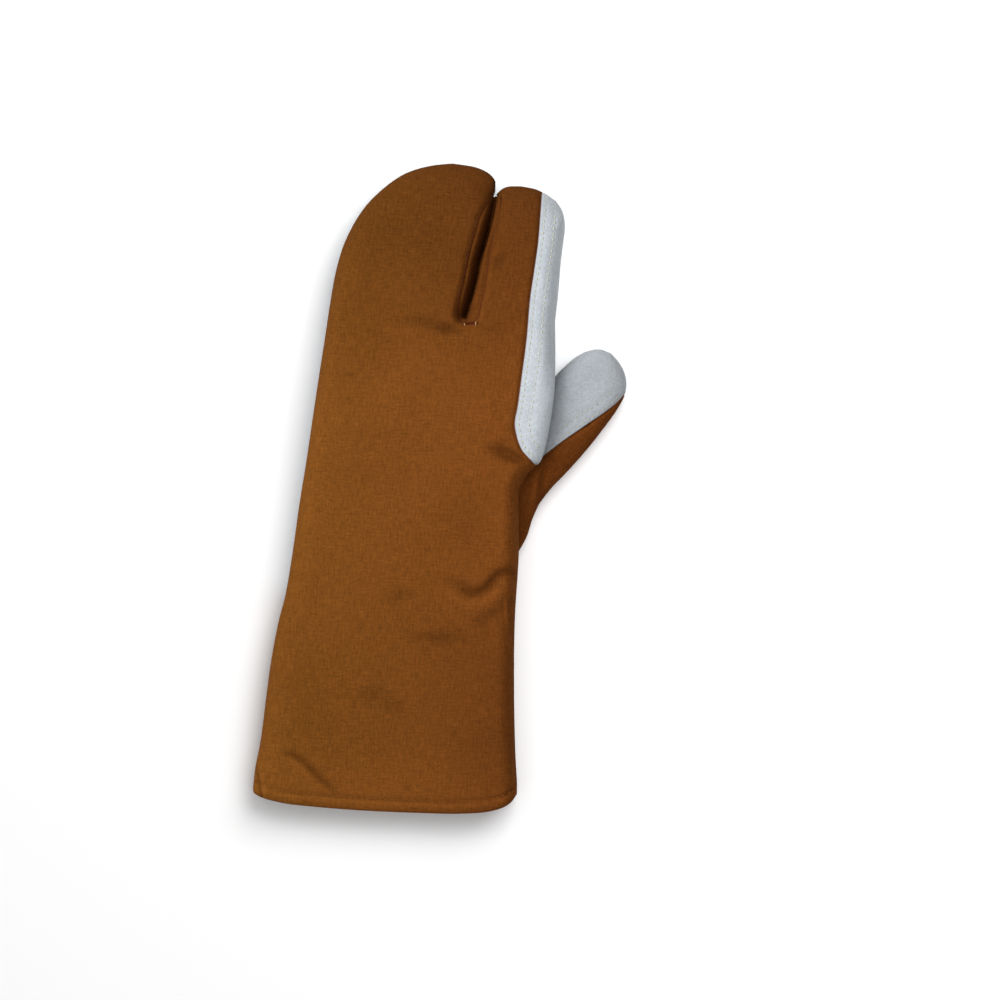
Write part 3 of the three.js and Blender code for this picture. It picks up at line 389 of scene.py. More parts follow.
def inset(x, y):
    """0 on the outline and 1 where the surface is at full height: 1 over the square root
    of the summed pulls of the outline's stretches and of the slit, which ends at its
    mouth, so that its pull there is half that of an endless line."""
    px, py = np.ravel(x), np.ravel(y)
    below = np.hypot(px - slit_x(SLIT_BOTTOM_Y), py - SLIT_BOTTOM_Y)
    distance = np.where(py < SLIT_BOTTOM_Y, below, np.abs(px - slit_x(py)))
    slit = np.maximum(1e-3, distance - HALF_SLIT) / SLIT_REACH
    to_mouth = GUSSET_END_Y - py
    share = (1 + to_mouth / np.hypot(to_mouth, distance)) / 2
    total = summed_pull(px, py, OUTER_EDGE, OUTER_REACH) + share / slit**2
    return (1 / np.sqrt(total)).reshape(np.shape(x))


def swell(q, power):
    """A rounded rise from 0 to 1: (1 - (1 - q)^power)^(1 / power)."""
    return (1 - (1 - np.minimum(1, q)) ** power) ** (1 / power)


def to_thumb(x, y):
    """Plan point to the thumb's own s, along its axis, and n, across it to the outside."""
    dx, dy = x - THUMB_ROOT[0], y - THUMB_ROOT[1]
    c, d = np.cos(THUMB_LEAN), np.sin(THUMB_LEAN)
    return dx * c + dy * d, dx * d - dy * c


def from_thumb(s, n):
    """The thumb's own s and n to a plan point."""
    c, d = np.cos(THUMB_LEAN), np.sin(THUMB_LEAN)
    return THUMB_ROOT[0] + s * c + n * d, THUMB_ROOT[1] + s * d - n * c


def lattice(x, y, size, seed):
    """Smooth noise from -1 to 1: a hashed value at each corner of a square lattice of that
    size, blended between the corners by ease."""
    u, v = x / size, y / size
    i, j = np.floor(u).astype(np.int64), np.floor(v).astype(np.int64)
    a, b = ease(u - i), ease(v - j)

    def corner(p, q):
        key = (p * 374761393 + q * 668265263 + seed * 1274126177) & 0xFFFFFFFF
        key = ((key ^ (key >> 13)) * 1274126177) & 0xFFFFFFFF
        return ((key ^ (key >> 16)) & 0xFFFF) / 32767.5 - 1.0

    low = mix(corner(i, j), corner(i + 1, j), a)
    high = mix(corner(i, j + 1), corner(i + 1, j + 1), a)
    return mix(low, high, b)


def palm_floor(x, y):
    """Height of what the palm lies on: the ground, or the thumb where it passes below."""
    inside = to_thumb(x, y)[1] + THUMB_HALF_WIDTH
    over = ease((inside + LIFT_OUTSIDE) / (LIFT_OUTSIDE + LIFT_INSIDE))
    return PALM_LIFT * over * ease((y - CROTCH_LOW_Y) / (CROTCH_HIGH_Y - CROTCH_LOW_Y))


def gaps(x, y, line):
    """From each point to the nearest place on each stretch of a line: the way to it, the
    fraction of the stretch reached, and the stretch's own way."""
    ax, ay, bx, by = stretches(*line)
    dx, dy = bx - ax, by - ay
    px, py = np.ravel(x)[:, None] - ax, np.ravel(y)[:, None] - ay
    t = np.clip((px * dx + py * dy) / (dx * dx + dy * dy), 0, 1)
    return px - t * dx, py - t * dy, t, dx, dy


def line_place(x, y, line):
    """Distance from a line, above 0 on its left, and the fraction of it reached at its
    nearest point."""
    gap_x, gap_y, t, dx, dy = gaps(x, y, line)
    gap = np.hypot(gap_x, gap_y)
    nearest = gap.argmin(axis=1)[:, None]
    distance = np.take_along_axis(gap * np.sign(dx * gap_y - dy * gap_x), nearest, axis=1)
    place = (nearest + np.take_along_axis(t, nearest, axis=1)) / t.shape[1]
    return distance.reshape(np.shape(x)), place.reshape(np.shape(x))


def crease_height(x, y):
    """The sum of the creases: along each plan line a bell-shaped valley with a lower and
    wider ridge beside it, to the left or, where ridge is below 0, to the right. Both fade
    towards the line's ends."""
    total = np.zeros(np.shape(x))
    for crease in CREASES:
        last = len(crease["x"]) - 1
        at = np.linspace(0, last, 6 * last + 1)
        line = [curve(range(last + 1), crease[key])(at) for key in ("x", "y")]
        distance, place = line_place(x, y, line)
        wide, ridge = crease["wide"], crease["ridge"]
        from_ridge = distance - np.sign(ridge) * RIDGE_PLACE * wide
        raised = np.abs(ridge) * bump(from_ridge, RIDGE_WIDTH * wide)
        profile = raised - crease["depth"] * bump(distance, wide)
        total += profile * ease(place / CREASE_FADE) * ease((1 - place) / CREASE_FADE)
    return total


def fold_height(x, y):
    """The creases, and the sum of the folds' bells, each turned to its own direction."""
    total = crease_height(x, y)
    for fx, fy, long, wide, turn, depth in zip(*FOLDS.values()):
        c, d = np.cos(np.radians(turn)), np.sin(np.radians(turn))
        along = (x - fx) * c + (y - fy) * d
        off = (y - fy) * c - (x - fx) * d
        total += depth * bump(along, long) * bump(off, wide)
    return total


def rounded(q, side, floor, middle, full, folds=0.0):
    """Height at q, the way in from the outline: above the edge seam it rises by swell from
    the middle to the full height, with the folds on it, and below it drops to the floor."""
    rise = swell(q, TOP_POWER)
    top = middle + (full - middle) * rise + folds * rise * rise
    drop = (middle - floor) * UNDER_OVERSHOOT * swell(q * UNDER_TIGHTNESS, UNDER_POWER)
    return by_side(side, top, np.maximum(floor, middle - drop), middle)


def full_height(x, y):
    """Height of the flat top: the hand's up to the slit's foot, blended above it into that
    of the lobe or the index finger."""
    finger = np.where(x < slit_x(y), lobe["height"](y), index["height"](y))
    return mix(body_height(y), finger, ease((y - SLIT_BOTTOM_Y) / FINGER_BLEND))


def surface(x, y, side):
    """Height of the hand's plain outer form."""
    floor, full = palm_floor(x, y), full_height(x, y)
    middle = floor + SEAM_HEIGHT * (full - floor)
    return rounded(inset(x, y), side, floor, middle, full, fold_height(x, y))


def thumb_surface(s, n, side):
    """The same for the thumb, in its own plan, on the ground and without folds."""
    full = thumb["height"](s)
    q = 1 / np.sqrt(summed_pull(s.ravel(), n.ravel(), THUMB_EDGE, THUMB_REACH)).reshape(s.shape)
    return rounded(q, side, 0.0, THUMB_SEAM_HEIGHT * full, full)


def thumb_form(x, y, side):
    """The thumb's plain form over the hand's plan."""
    return thumb_surface(*to_thumb(x, y), side)


def seam_path(name):
    """Plan points of a seam, mm: along the strip or the cloth's wrap, or down one side of
    the slit, round its foot and up the other, as the back or the palm is sewn there."""
    if name == "strip":
        y = np.linspace(STRIP_START_Y, STRIP_SEAM["y"][-1], 90)
        return strip_x(y), y
    if name == "wrap":
        y = np.linspace(0.0, WRAP_END_Y, 60)
        return wrap_x(y), y
    y = np.linspace(GUSSET_END_Y, SLIT_BOTTOM_Y, 40)
    left = slit_x(y) - HALF_SLIT - seam_off[name + "_left"](y)
    right = slit_x(y) + HALF_SLIT + seam_off[name + "_right"](y)
    foot_x = slit_x(SLIT_BOTTOM_Y)
    angle = np.linspace(0, np.pi, 22)[1:-1]
    wide = np.where(angle < np.pi / 2, foot_x - left[-1], right[-1] - foot_x)
    x = np.concatenate([left, foot_x - np.cos(angle) * wide, right[::-1]])
    return x, np.concatenate([y, SLIT_BOTTOM_Y - np.sin(angle) * SEAM_DROPS[name], y[::-1]])


SEAMS = {name: seam_path(name) for name in ("strip", "wrap", "back", "palm")}


def seam_distance(x, y, name):
    """Distance in plan to the nearest point of a seam."""
    gap_x, gap_y = gaps(x, y, SEAMS[name])[:2]
    return np.hypot(gap_x, gap_y).min(axis=1).reshape(np.shape(x))


def wrapped_edge(x, y):
    """The ridge just inside the gauntlet's thumb side, where the cloth wraps round it. It
    draws away from the edge towards its upper end."""
    inside = body_right(y) - x - 1.8 - 3.6 * ease((y - 95) / 35)
    return (1.3 * bump(inside, 0.8) - 0.5 * bump(inside + 1.7, 0.8)) * ease((140 - y) / 15)


def cloth_height(x, y, side):
    """The hand's plain form with the cloth's relief: soft unevenness, a ridge beside the
    edge seam, a dip at each seam and at the hem's stitches. The relief fades out at the
    outline, and underneath it only rises, so the cloth never sinks below its floor."""
    fade = ease(inset(x, y) / RELIEF_FADE)
    uneven = 0.7 * lattice(x, y, 52, 1) + 0.3 * lattice(x, y, 19, 2)
    small = 0.11 * lattice(x + 0.4 * y, y - 0.3 * x, 7.5, 3)
    inside = x - body_left(y) - np.clip(2.7 + (y - 143) * 0.024, 2.7, 6.0)
    ridge = (0.8 * bump(inside, 2.0) - 0.5 * bump(inside - 6, 4)) * ease((335 - y) / 20)
    slit = seam_distance(x, y, "back")
    beyond = (x > strip_x(y)) & (y > STRIP_START_Y)
    strip = np.where(beyond, 0.0, seam_distance(x, y, "strip"))
    pucker = 0.45 * np.abs(lattice(x, y, 5.5, 7)) * bump(slit, 6)
    hem = y - hem_line(x)
    roll = 0.5 * bump(hem - 3.6, 2.2) - 1.3 * bump(hem - HEM_ROW, 1.0) - 1.1 * bump(hem, 1.5)
    top = fade * (uneven + small + ridge + wrapped_edge(x, y)) + roll
    top = top - pucker - 1.3 * bump(slit, 1.9) - 1.5 * bump(strip, 1.5)
    lap = 1.9 * bump(np.maximum(0, LEATHER_START_Y - y), 2.0)
    wrap = 1.3 * bump(seam_distance(x, y, "wrap"), 1.8)
    turned = 0.5 * bump(hem - HEM_ROW, 1.5) + 0.8 * bump(hem, 1.5)
    under = fade * 0.25 * (1 + lattice(x, y, 26, 4)) + lap + wrap + turned
    return surface(x, y, side) + by_side(side, top, under, 0.0)


def back_height(x, y, side):
    """The cloth's height, lifted by the seam's gap on the back."""
    return cloth_height(x, y, side) + np.where(np.asarray(side) >= 0, SEAM_GAP, 0.0)


def leather_rows(distance, rows):
    """Relief of a leather edge that laps over cloth: a dip at each of its two rows of
    stitches, and the edge itself a little rolled down."""
    dips = -0.3 * bump(distance - rows[0], 0.9) - 0.35 * bump(distance - rows[1], 1.1)
    return dips - 0.5 * bump(distance, 0.6)


def leather_height(x, y, side):
    """The hand's plain form with the leather's relief: the strip stands proud of the cloth
    it laps over, with its rows of stitches, and the palm has shallow dips."""
    fade = ease(inset(x, y) / RELIEF_FADE)
    uneven = 0.3 * lattice(x, y, 24, 11) + 0.12 * lattice(x, y, 8, 12)
    top = fade * (0.9 + uneven) + leather_rows(seam_distance(x, y, "strip"), STRIP_ROWS)
    hollow = 0.3 * (1 + lattice(x, y, 30, 14)) + 0.1 * (1 + lattice(x, y, 9, 15))
    start = -leather_rows(y - LEATHER_START_Y, LEATHER_ROWS)
    slit = 1.2 * bump(seam_distance(x, y, "palm"), 2.0)
    wrap = np.where(y < WRAP_END_Y, 1.3 * bump(seam_distance(x, y, "wrap"), 1.8), 0.0)
    return surface(x, y, side) + by_side(side, top, fade * hollow + start + slit + wrap, 0.0)


def gusset_height(x, y, side):
    """The hand's plain form inside the slit: dips below its neighbours at both seams, and
    swells unevenly between them, as folded cloth does."""
    base = surface(x, y, side)
    back, palm = seam_distance(x, y, "back"), seam_distance(x, y, "palm")
    uneven = 0.7 * lattice(x * 1.5, y, 14, 21)
    full = full_height(x, y) - 1.0
    from_wall = ease((x - slit_x(y) - HALF_SLIT) / 1.4)
    lifted = 0.7 * (full - base) * from_wall * ease((y - SLIT_BOTTOM_Y - 2) / 6)
    below = SLIT_BOTTOM_Y - y
    pinch = -1.6 * bump(x - slit_x(SLIT_BOTTOM_Y) - 0.6 * below, 1.2) * ease(below / 2)
    top = np.maximum(0, lifted) + pinch + uneven * ease(back / 3) - 1.9 * bump(back, 1.3)
    under = 0.4 * (1 + uneven) * ease(palm / 3) + 1.9 * bump(palm, 1.5)
    return base + by_side(side, top, under, 0.0)


def thumb_leather_height(s, n, side):
    """The thumb's plain form with its leather's relief, lapped over the cloth at its seams."""
    inner, outer, seam = (thumb[key](s) for key in ("inner", "outer", "seam"))
    fade = ease(np.minimum(n - inner, outer - n) / 9)
    uneven = 0.45 * lattice(s, n, 21, 31) + 0.15 * lattice(s, n, 8, 32)
    crease = -1.0 * bump(s - 55 - 0.35 * n, 3.0) * bump(n + 3, 9)
    rows = np.where(s < THUMB_BACK_END, leather_rows(seam - n, LEATHER_ROWS), 0.0)
    top = fade * (uneven + crease + 0.6) + rows * ease((THUMB_BACK_END + 4 - s) / 8)
    under = 0.3 * fade * (1 + lattice(s, n, 23, 33))
    return thumb_surface(s, n, side) + by_side(side, top, under, 0.0)


def thumb_ridge(x, y):
    """A long crease down the root of the thumb's cloth: a ridge between two dips."""
    off = x - 75.2 - 0.046 * (y - 186.5)
    profile = 1.2 * bump(off, 1.0) - 0.6 * bump(off + 3.6, 2.2) - 1.6 * bump(off - 3.6, 2.4)
    return profile * ease((211 - y) / 8) * ease((y - 178) / 10)


def thumb_cloth_height(s, n, side):
    """The thumb's plain form with its cloth's relief, dipping under the leather's edge."""
    inside = thumb["outer"](s) - n
    fade = ease(inside / 6)
    uneven = 0.4 * lattice(s, n, 17, 41)
    crease = -1.1 * bump(s - 34 + 0.3 * n, 3.2) - 0.8 * bump(s - 62, 4.0)
    ridge = thumb_ridge(*from_thumb(s, n))
    top = fade * (uneven + crease + ridge) - 1.6 * bump(n - thumb["seam"](s), 1.5)
    under = 0.3 * fade * (1 + uneven) + 1.6 * bump(thumb["margin"](s) - inside, 1.5)
    return thumb_surface(s, n, side) + by_side(side, top, under, 0.0)


def across(width, crowding, step, flip=False):
    """Fractions across a panel of a width, about a step apart: part, 1 minus the cosine of
    a quarter turn, crowded at the start, and part, half of 1 minus the cosine of half a
    turn, crowded at both ends. The crowding is the second part's share, and flip crowds
    the end instead of the start."""
    count = int(width / step)
    t = np.arange(count + 1) / count
    start = 1 - np.cos(np.pi / 2 * t)
    fractions = (1 - crowding) * start + crowding * (1 - np.cos(np.pi * t)) / 2
    return 1 - fractions[::-1] if flip else fractions


def hem_shift(x, y):
    """How far the hem's line moves a row's points up: its own height at the hem, fading
    with the square of the way left to where it ends."""
    return hem_line(x) * (1 - np.minimum(1, y / HEM_FADE_Y)) ** 2


def along_outline(x, y):
    """x of a row's end after the hem's shift: an end on the outline stays on it."""
    moved = y + hem_shift(x, y)
    for outline in (body_left, body_right):
        x = np.where(np.abs(x - outline(y)) < 1e-6, outline(moved), x)
    return x


def run_along(place, z, axis):
    """The length run along a grid's rows or columns in one plan direction: the plan
    distance, plus what a slope of more than about 1 in 3 adds to it."""
    plan = np.abs(steps(place, axis))
    extra = np.hypot(plan, steps(z, axis)) - PLAN_SLACK * plan
    return np.cumsum(plan + np.maximum(0, extra), axis=axis)


def patch(height, plan, ends, fractions, side, start=0, end=0, apex=0, zero=None, run=0.0):
    """A grid of points over the hand's plan or the thumb's own, and the way it faces. Each
    row runs from (x0, y0) to (x1, y1) of ends, at the given fractions, moved by the hem's
    line in the hand's plan, and height gives z. start, end and apex, which is the last
    row, say 1 for a seam on the outline, 2 for an outline that the surface turns round,
    and 0 inside it. A seam's points are tucked in towards the mitt, but less and less
    towards the slit's mouth. The map is plan x and y, plus what steep parts add. With a
    zero column it is the length along each row from there, plus run, and the other plan
    direction."""
    x0, y0, x1, y1 = (values[:, None] for values in ends)
    if plan == "hand":
        x0, x1 = along_outline(x0, y0), along_outline(x1, y1)
    x, y = mix(x0, x1, fractions), mix(y0, y1, fractions)
    x[:, [0, -1]] = np.hstack([x0, x1])
    y[:, [0, -1]] = np.hstack([y0, y1])
    y = y + hem_shift(x, y) if plan == "hand" else y
    kinds = np.zeros(x.shape)
    kinds[:, 0], kinds[:, -1] = start, end
    if apex:
        kinds[-1] = apex
    z = height(x, y, np.where(kinds > 0, 0, side))
    at_tip = (np.linspace(0, 1, len(x))[:, None] > 0.5) & bool(apex)
    out_x = x - (x0 + x1) / 2
    out_y = np.where(at_tip, y - (y0 + y1) / 2 + TIP_CENTRE, 0.0)
    length = np.maximum(1e-6, np.hypot(out_x, out_y))
    from_mouth = np.hypot(x - slit_x(GUSSET_END_Y), y - GUSSET_END_Y)
    tuck = np.where(kinds == 1, SEAM_TUCK * ease(from_mouth / TUCK_FADE), 0.0)
    x, y = x - tuck * out_x / length, y - tuck * out_y / length
    along, v = (y, x) if plan == "thumb" else (x, y)
    u = run_along(along, z, 1)
    if zero is None:
        middle = x.shape[1] // 2
        u = u - u[:, [middle]] + x[:, [middle]]
        v = run_along(y, z, 0) + y[:1]
    else:
        u = u - u[:, [zero]] + run
    if plan == "thumb":
        u = u * side
        x, y = from_thumb(x, y)
    return np.stack([x, y, z, u, v], axis=-1), (0, 0, side)


def gathered(parts):
    """Several pieces' points and faces as one."""
    points, faces = zip(*parts)
    starts = np.cumsum([0, *map(len, points[:-1])])
    return np.concatenate(points), np.concatenate([f + start for f, start in zip(faces, starts)])


def merged(rows, triangles):
    """A skin whose points in the same place are one, without the triangles that this
    closes up and the points that no triangle uses."""
    keys = np.round(rows[:, :3] * PLACES_PER_MM).astype(np.int64)
    _, first, same = np.unique(keys, axis=0, return_index=True, return_inverse=True)
    triangles = same.reshape(-1)[triangles]
    a, b, c = triangles.T
    triangles = triangles[(a != b) & (b != c) & (c != a)]
    used, numbers = np.unique(triangles, return_inverse=True)
    return rows[first][used], numbers.reshape(-1, 3)


def joined(patches):
    """One skin from several patches, each wound so that its faces point its way. Returns
    rows of (x, y, z, u, v) and triangles."""
    parts = []
    for data, towards in patches:
        height, width = data.shape[:2]
        a = (np.arange(height - 1)[:, None] * width + np.arange(width - 1)).ravel()
        grid = np.stack([a, a + 1, a + 1 + width, a + width], axis=1)
        flat = data.reshape(-1, 5)
        p = flat[grid, :3]
        normal = np.cross(p[:, 2] - p[:, 0], p[:, 3] - p[:, 1])
        parts.append((flat, grid if (normal * towards).sum() > 0 else grid[:, ::-1]))
    rows, faces = gathered(parts)
    return merged(rows, np.concatenate([faces[:, [0, 1, 2]], faces[:, [0, 2, 3]]]))


def clipped(rows, triangles, field):
    """The part of a skin where field is above 0. A triangle that the border crosses keeps
    the part on that side, with new corners where field is 0 along its edges."""
    inside = field[triangles] > 0
    count = inside.sum(axis=1)
    points, kept = [rows], [triangles[count == 3]]
    for inner_corners in (1, 2):
        crossed = count == inner_corners
        odd = (inside[crossed] == (inner_corners == 1)).argmax(axis=1)
        order = (odd[:, None] + np.arange(3)) % 3
        a, b, c = np.take_along_axis(triangles[crossed], order, axis=1).T
        cuts = []
        for other in (b, c):
            cuts.append(sum(map(len, points)) + np.arange(len(a)))
            t = (field[a] / (field[a] - field[other]))[:, None]
            points.append(mix(rows[a], rows[other], t))
        ab, ac = cuts
        corners = [(a, ab, ac)] if inner_corners == 1 else [(ab, b, c), (ab, c, ac)]
        kept += [np.stack(group, axis=1) for group in corners]
    return merged(np.concatenate(points), np.concatenate(kept))


def outside_thumb(rows):
    """Above 0 outside the thumb's slightly grown form, where the hand's skin is kept."""
    x, y, z = rows[:, :3].T
    s, n = to_thumb(x, y)
    limits = [
        thumb["inner"](s) - THUMB_GROW - n,
        n - thumb["outer"](s) - THUMB_GROW,
        THUMB["s"][0] - THUMB_GROW - s,
        s - THUMB_TIP,
        z - thumb_surface(s, n, 1) - THUMB_GROW,
        thumb_surface(s, n, -1) - THUMB_GROW - z,
    ]
    return np.max(limits, axis=0)


def outside_hollow(rows):
    """Above 0 outside the hand's hollow, where the thumb's skin is kept."""
    x, y, z = rows[:, :3].T
    limits = [
        surface(x, y, -1) + HOLLOW_UNDER - z,
        z - surface(x, y, 1) + HOLLOW_WALL,
        body_left(y) + HOLLOW_WALL - x,
        x - body_right(y) + HOLLOW_WALL,
    ]
    return np.max(limits, axis=0)


def skin_normals(points, triangles):
    """Outward normals at a skin's points: the summed normals of their faces, then twice
    averaged with their neighbours' and made unit length."""
    a, b, c = triangles.T
    face = np.cross(points[b] - points[a], points[c] - points[a])
    normal = np.zeros_like(points)
    for corner in (a, b, c):
        np.add.at(normal, corner, face)
    for _ in range(2):
        normal = unit(normal)
        spread = normal.copy()
        for p, q in ((a, b), (b, c), (c, a)):
            np.add.at(spread, p, normal[q])
            np.add.at(spread, q, normal[p])
        normal = spread
    return unit(normal)


def border_edges(triangles):
    """Edges of only one face, in that face's direction."""
    edges = triangles[:, [0, 1, 1, 2, 2, 0]].reshape(-1, 3, 2).swapaxes(0, 1).reshape(-1, 2)
    ordered = np.sort(edges, axis=1)
    _, which, count = np.unique(ordered, axis=0, return_inverse=True, return_counts=True)
    return edges[count[which.reshape(-1)] == 1]


def with_wall(rows, triangles, wall, rounding, form):
    """A skin with its wall, a closed solid: the outer points, the inner points a wall's
    thickness along the inward normal and held inside the form, and a border whose middle
    stands out by its rounding times the wall. Returns rows, triangles and, for each
    point, 1 on the border and 0 elsewhere."""
    points = rows[:, :3]
    normal = skin_normals(points, triangles)
    inner = points - wall * normal

    def heights(at):
        return form(at[:, 0], at[:, 1], -1), form(at[:, 0], at[:, 1], 1)

    tall = np.subtract(*heights(points)) - np.subtract(*heights(inner))
    astray = tall < -0.5
    inner[astray, :2] = 1.5 * points[astray, :2] - 0.5 * inner[astray, :2]
    under, top = heights(inner)
    middle = (top + under) / 2
    low, high = np.minimum(under + INNER_ROOM, middle), np.maximum(top - INNER_ROOM, middle)
    inner[:, 2] = np.clip(inner[:, 2], low, high)
    edges = border_edges(triangles)
    outward = np.zeros_like(points)
    away = np.cross(points[edges[:, 1]] - points[edges[:, 0]], normal[edges[:, 0]])
    np.add.at(outward, edges[:, 0], away)
    np.add.at(outward, edges[:, 1], away)
    used, numbers = np.unique(edges, return_inverse=True)
    rim = (points[used] + inner[used]) / 2 + rounding * wall * unit(outward)[used]
    count = len(points)
    rim_rows = np.hstack([rim, rows[used, 3:] + [0, wall / 2]])
    inner_rows = np.hstack([inner, rows[:, 3:] + [0, wall]])
    a, b = edges.T
    c, d = numbers.reshape(-1, 2).T + 2 * count
    strips = [(b, a, c), (b, c, d), (d, c, a + count), (d, a + count, b + count)]
    strips = [np.stack(corners, axis=1) for corners in strips]
    edge = np.zeros(2 * count + len(used))
    edge[used] = 1
    edge[2 * count :] = 1
    faces = np.concatenate([triangles, triangles[:, ::-1] + count, *strips])
    return np.concatenate([rows, inner_rows, rim_rows]), faces, edge


def hand_folds(x, y, z):
    """Height of the folds, the wrapped edge and the hem's groove on the hand's upper side; the cotton
    paints shade in its dips and highlight on its rises.
    """
    groove = 1.6 * bump(y - hem_line(x) - HEM_ROW, 0.8)
    return (fold_height(x, y) + wrapped_edge(x, y) - groove) * ease((z - 12) / 8)


def thumb_folds(x, y, z):
    """Height of the crease on the thumb's upper side; the cotton paints shade in its dips and highlight on
    its ridge.
    """
    return thumb_ridge(x, y) * ease((z - 8) / 6)


def even_rows(start, end, step):
    """Values from start to end, evenly, about a step apart."""
    return np.linspace(start, end, int(round((end - start) / step)) + 1)


def slit_side(y, name, hand):
    """The x of a panel's edge beside the slit, on hand -1, the lobe's, or 1, the index
    finger's. Below the slit's foot it closes in on the middle along a quarter ellipse."""
    above = np.maximum(y, SLIT_BOTTOM_Y)
    deep = np.clip((SLIT_BOTTOM_Y - y) / SEAM_DROPS[name], 0, 1)
    off = seam_off[name + ("_left" if hand < 0 else "_right")](above)
    return slit_x(above) + hand * (HALF_SLIT + off + PANEL_GAP) * np.sqrt(1 - deep**2)


def finger_steps(finger):
    """Fractions of a finger's run, crowded at its tip, with one on the slit's mouth."""
    t = np.sin(np.pi / 2 * np.arange(1, FINGER_ROWS + 1) / FINGER_ROWS)
    t[np.abs(t - finger["mouth"]).argmin()] = finger["mouth"]
    return t


def hand_rows(first, step, name):
    """y of a panel's rows up to its fingers: the first ones, those beside the strip, and
    those round the slit's foot, which are even along its quarter turn."""
    drop = SEAM_DROPS[name]
    angle = np.pi / 2 * (1 - np.arange(1, FOOT_ROWS + 1) / FOOT_ROWS)
    beside_strip = even_rows(STRIP_START_Y, SLIT_BOTTOM_Y - drop, step)
    return np.concatenate([first, beside_strip, SLIT_BOTTOM_Y - drop * np.sin(angle)])


def half(height, side, hand, name, y, outer, kinds, columns, finish=None):
    """Half of a panel, on hand -1, the lobe's, or 1, the index finger's: its rows run
    between the outer ends and the slit's seam, up the hand and on along the finger. kinds
    are the outer ends' on the hand, and finish may change the finger's ends and kinds."""
    finger, near, far = (lobe, "r", "l") if hand < 0 else (index, "l", "r")
    t = finger_steps(finger)
    near_x, near_y, far_x, far_y = (finger[key + axis](t) for key in (near, far) for axis in "xy")
    is_open = near_y > GUSSET_END_Y + 1e-6
    near_x = np.where(is_open, near_x, slit_side(near_y, name, hand))
    far_x, far_kinds = finish(far_x, far_y) if finish else (far_x, np.ones(len(t)))
    hand_end = (slit_side(y, name, hand), y, 0 * y)
    slit_end = [np.concatenate(pair) for pair in zip(hand_end, (near_x, near_y, is_open))]
    hand_end = (outer, y, kinds + 0 * y)
    outer_end = [np.concatenate(pair) for pair in zip(hand_end, (far_x, far_y, far_kinds))]
    first, last = (outer_end, slit_end) if hand < 0 else (slit_end, outer_end)
    ends = (*first[:2], *last[:2])
    return patch(height, "hand", ends, columns, side, first[2], last[2], apex=1)


def back_skin(step):
    """The back's cloth: a left and a right half from the hem to the fingertips, and the
    part that has turned round the thumb side."""
    y = hand_rows(even_rows(0, STRIP_START_Y - 0.1, step), step, "back")
    left = half(back_height, 1, -1, "back", y, body_left(y), 1, across(150, 0.7, step))
    below = y < STRIP_START_Y
    lapped = np.minimum(strip_x(y) + STRIP_LAP, body_right(y) - EDGE_ROOM)
    outer = np.where(below, body_right(y), lapped)
    kinds = np.where(y < WRAP_END_Y, 2, np.where(below, 1, 0))

    def under_strip(x, y):
        lap = mix(STRIP_LAP, STRIP_TIP_LAP, ease((y - TIP_LAP_Y) / TIP_LAP_FADE))
        limit = strip_x(y) + lap
        return np.minimum(x, limit), np.where(x > limit, 0, 1)

    columns = across(90, 0.6, step, flip=True)
    right = half(back_height, 1, 1, "back", y, outer, kinds, columns, under_strip)
    y = y[y < WRAP_END_Y]
    run = right[0][: len(y), -1, 3:4]
    ends = (body_right(y), y, wrap_x(y) + PANEL_GAP, y)
    columns = across(52, 0.3, step)
    wrap = patch(back_height, "hand", ends, columns, -1, start=2, zero=0, run=run)
    rows, triangles = joined([left, right, wrap])
    return clipped(rows, triangles, outside_thumb(rows))


def gauntlet_skin(step):
    """The gauntlet's underside, from the left edge to the seam under the thumb side. Its
    far end runs on a little over the leather's edge line, under the leather's lap."""
    y = even_rows(0, LEATHER_START_Y + 1.5, step)
    ends = (body_left(y), y, wrap_x(y) - PANEL_GAP, y)
    return joined([patch(cloth_height, "hand", ends, across(120, 0.4, step), -1, start=1)])


def palm_skin(step):
    """The leather of the palm and both fingers' undersides, and the strip that turns round
    the index finger's outer edge on to the back."""
    y = hand_rows(even_rows(LEATHER_START_Y, STRIP_START_Y, step)[:-1], step, "palm")
    columns = across(140, 0.7, step)
    left = half(leather_height, -1, -1, "palm", y, body_left(y), 1, columns)
    on_edge = y >= WRAP_END_Y
    outer = np.where(on_edge, body_right(y), wrap_x(y) - PANEL_GAP)
    at_strip = y >= STRIP_START_Y - 1e-6
    kinds = np.where(at_strip, 2, np.where(on_edge, 1, 0))

    def round_edge(x, y):
        return x, np.where(x > strip_x(y) + 0.3, 2, 1)

    columns = across(90, 0.6, step, flip=True)
    right = half(leather_height, -1, 1, "palm", y, outer, kinds, columns, round_edge)
    t = finger_steps(index)
    x, tip_kinds = round_edge(index["rx"](t), index["ry"](t))
    turned = np.concatenate([at_strip, tip_kinds == 2])
    x = np.concatenate([body_right(y), x])[turned]
    y = np.concatenate([y, index["ry"](t)])[turned]
    ends = (strip_x(y) - 0.2, y, x, y)
    run = right[0][turned, -1, 3:4]
    columns = across(40, 0.35, step, flip=True)
    strip = patch(leather_height, "hand", ends, columns, 1, end=2, zero=-1, run=run)
    rows, triangles = joined([left, right, strip])
    return clipped(rows, triangles, outside_thumb(rows))


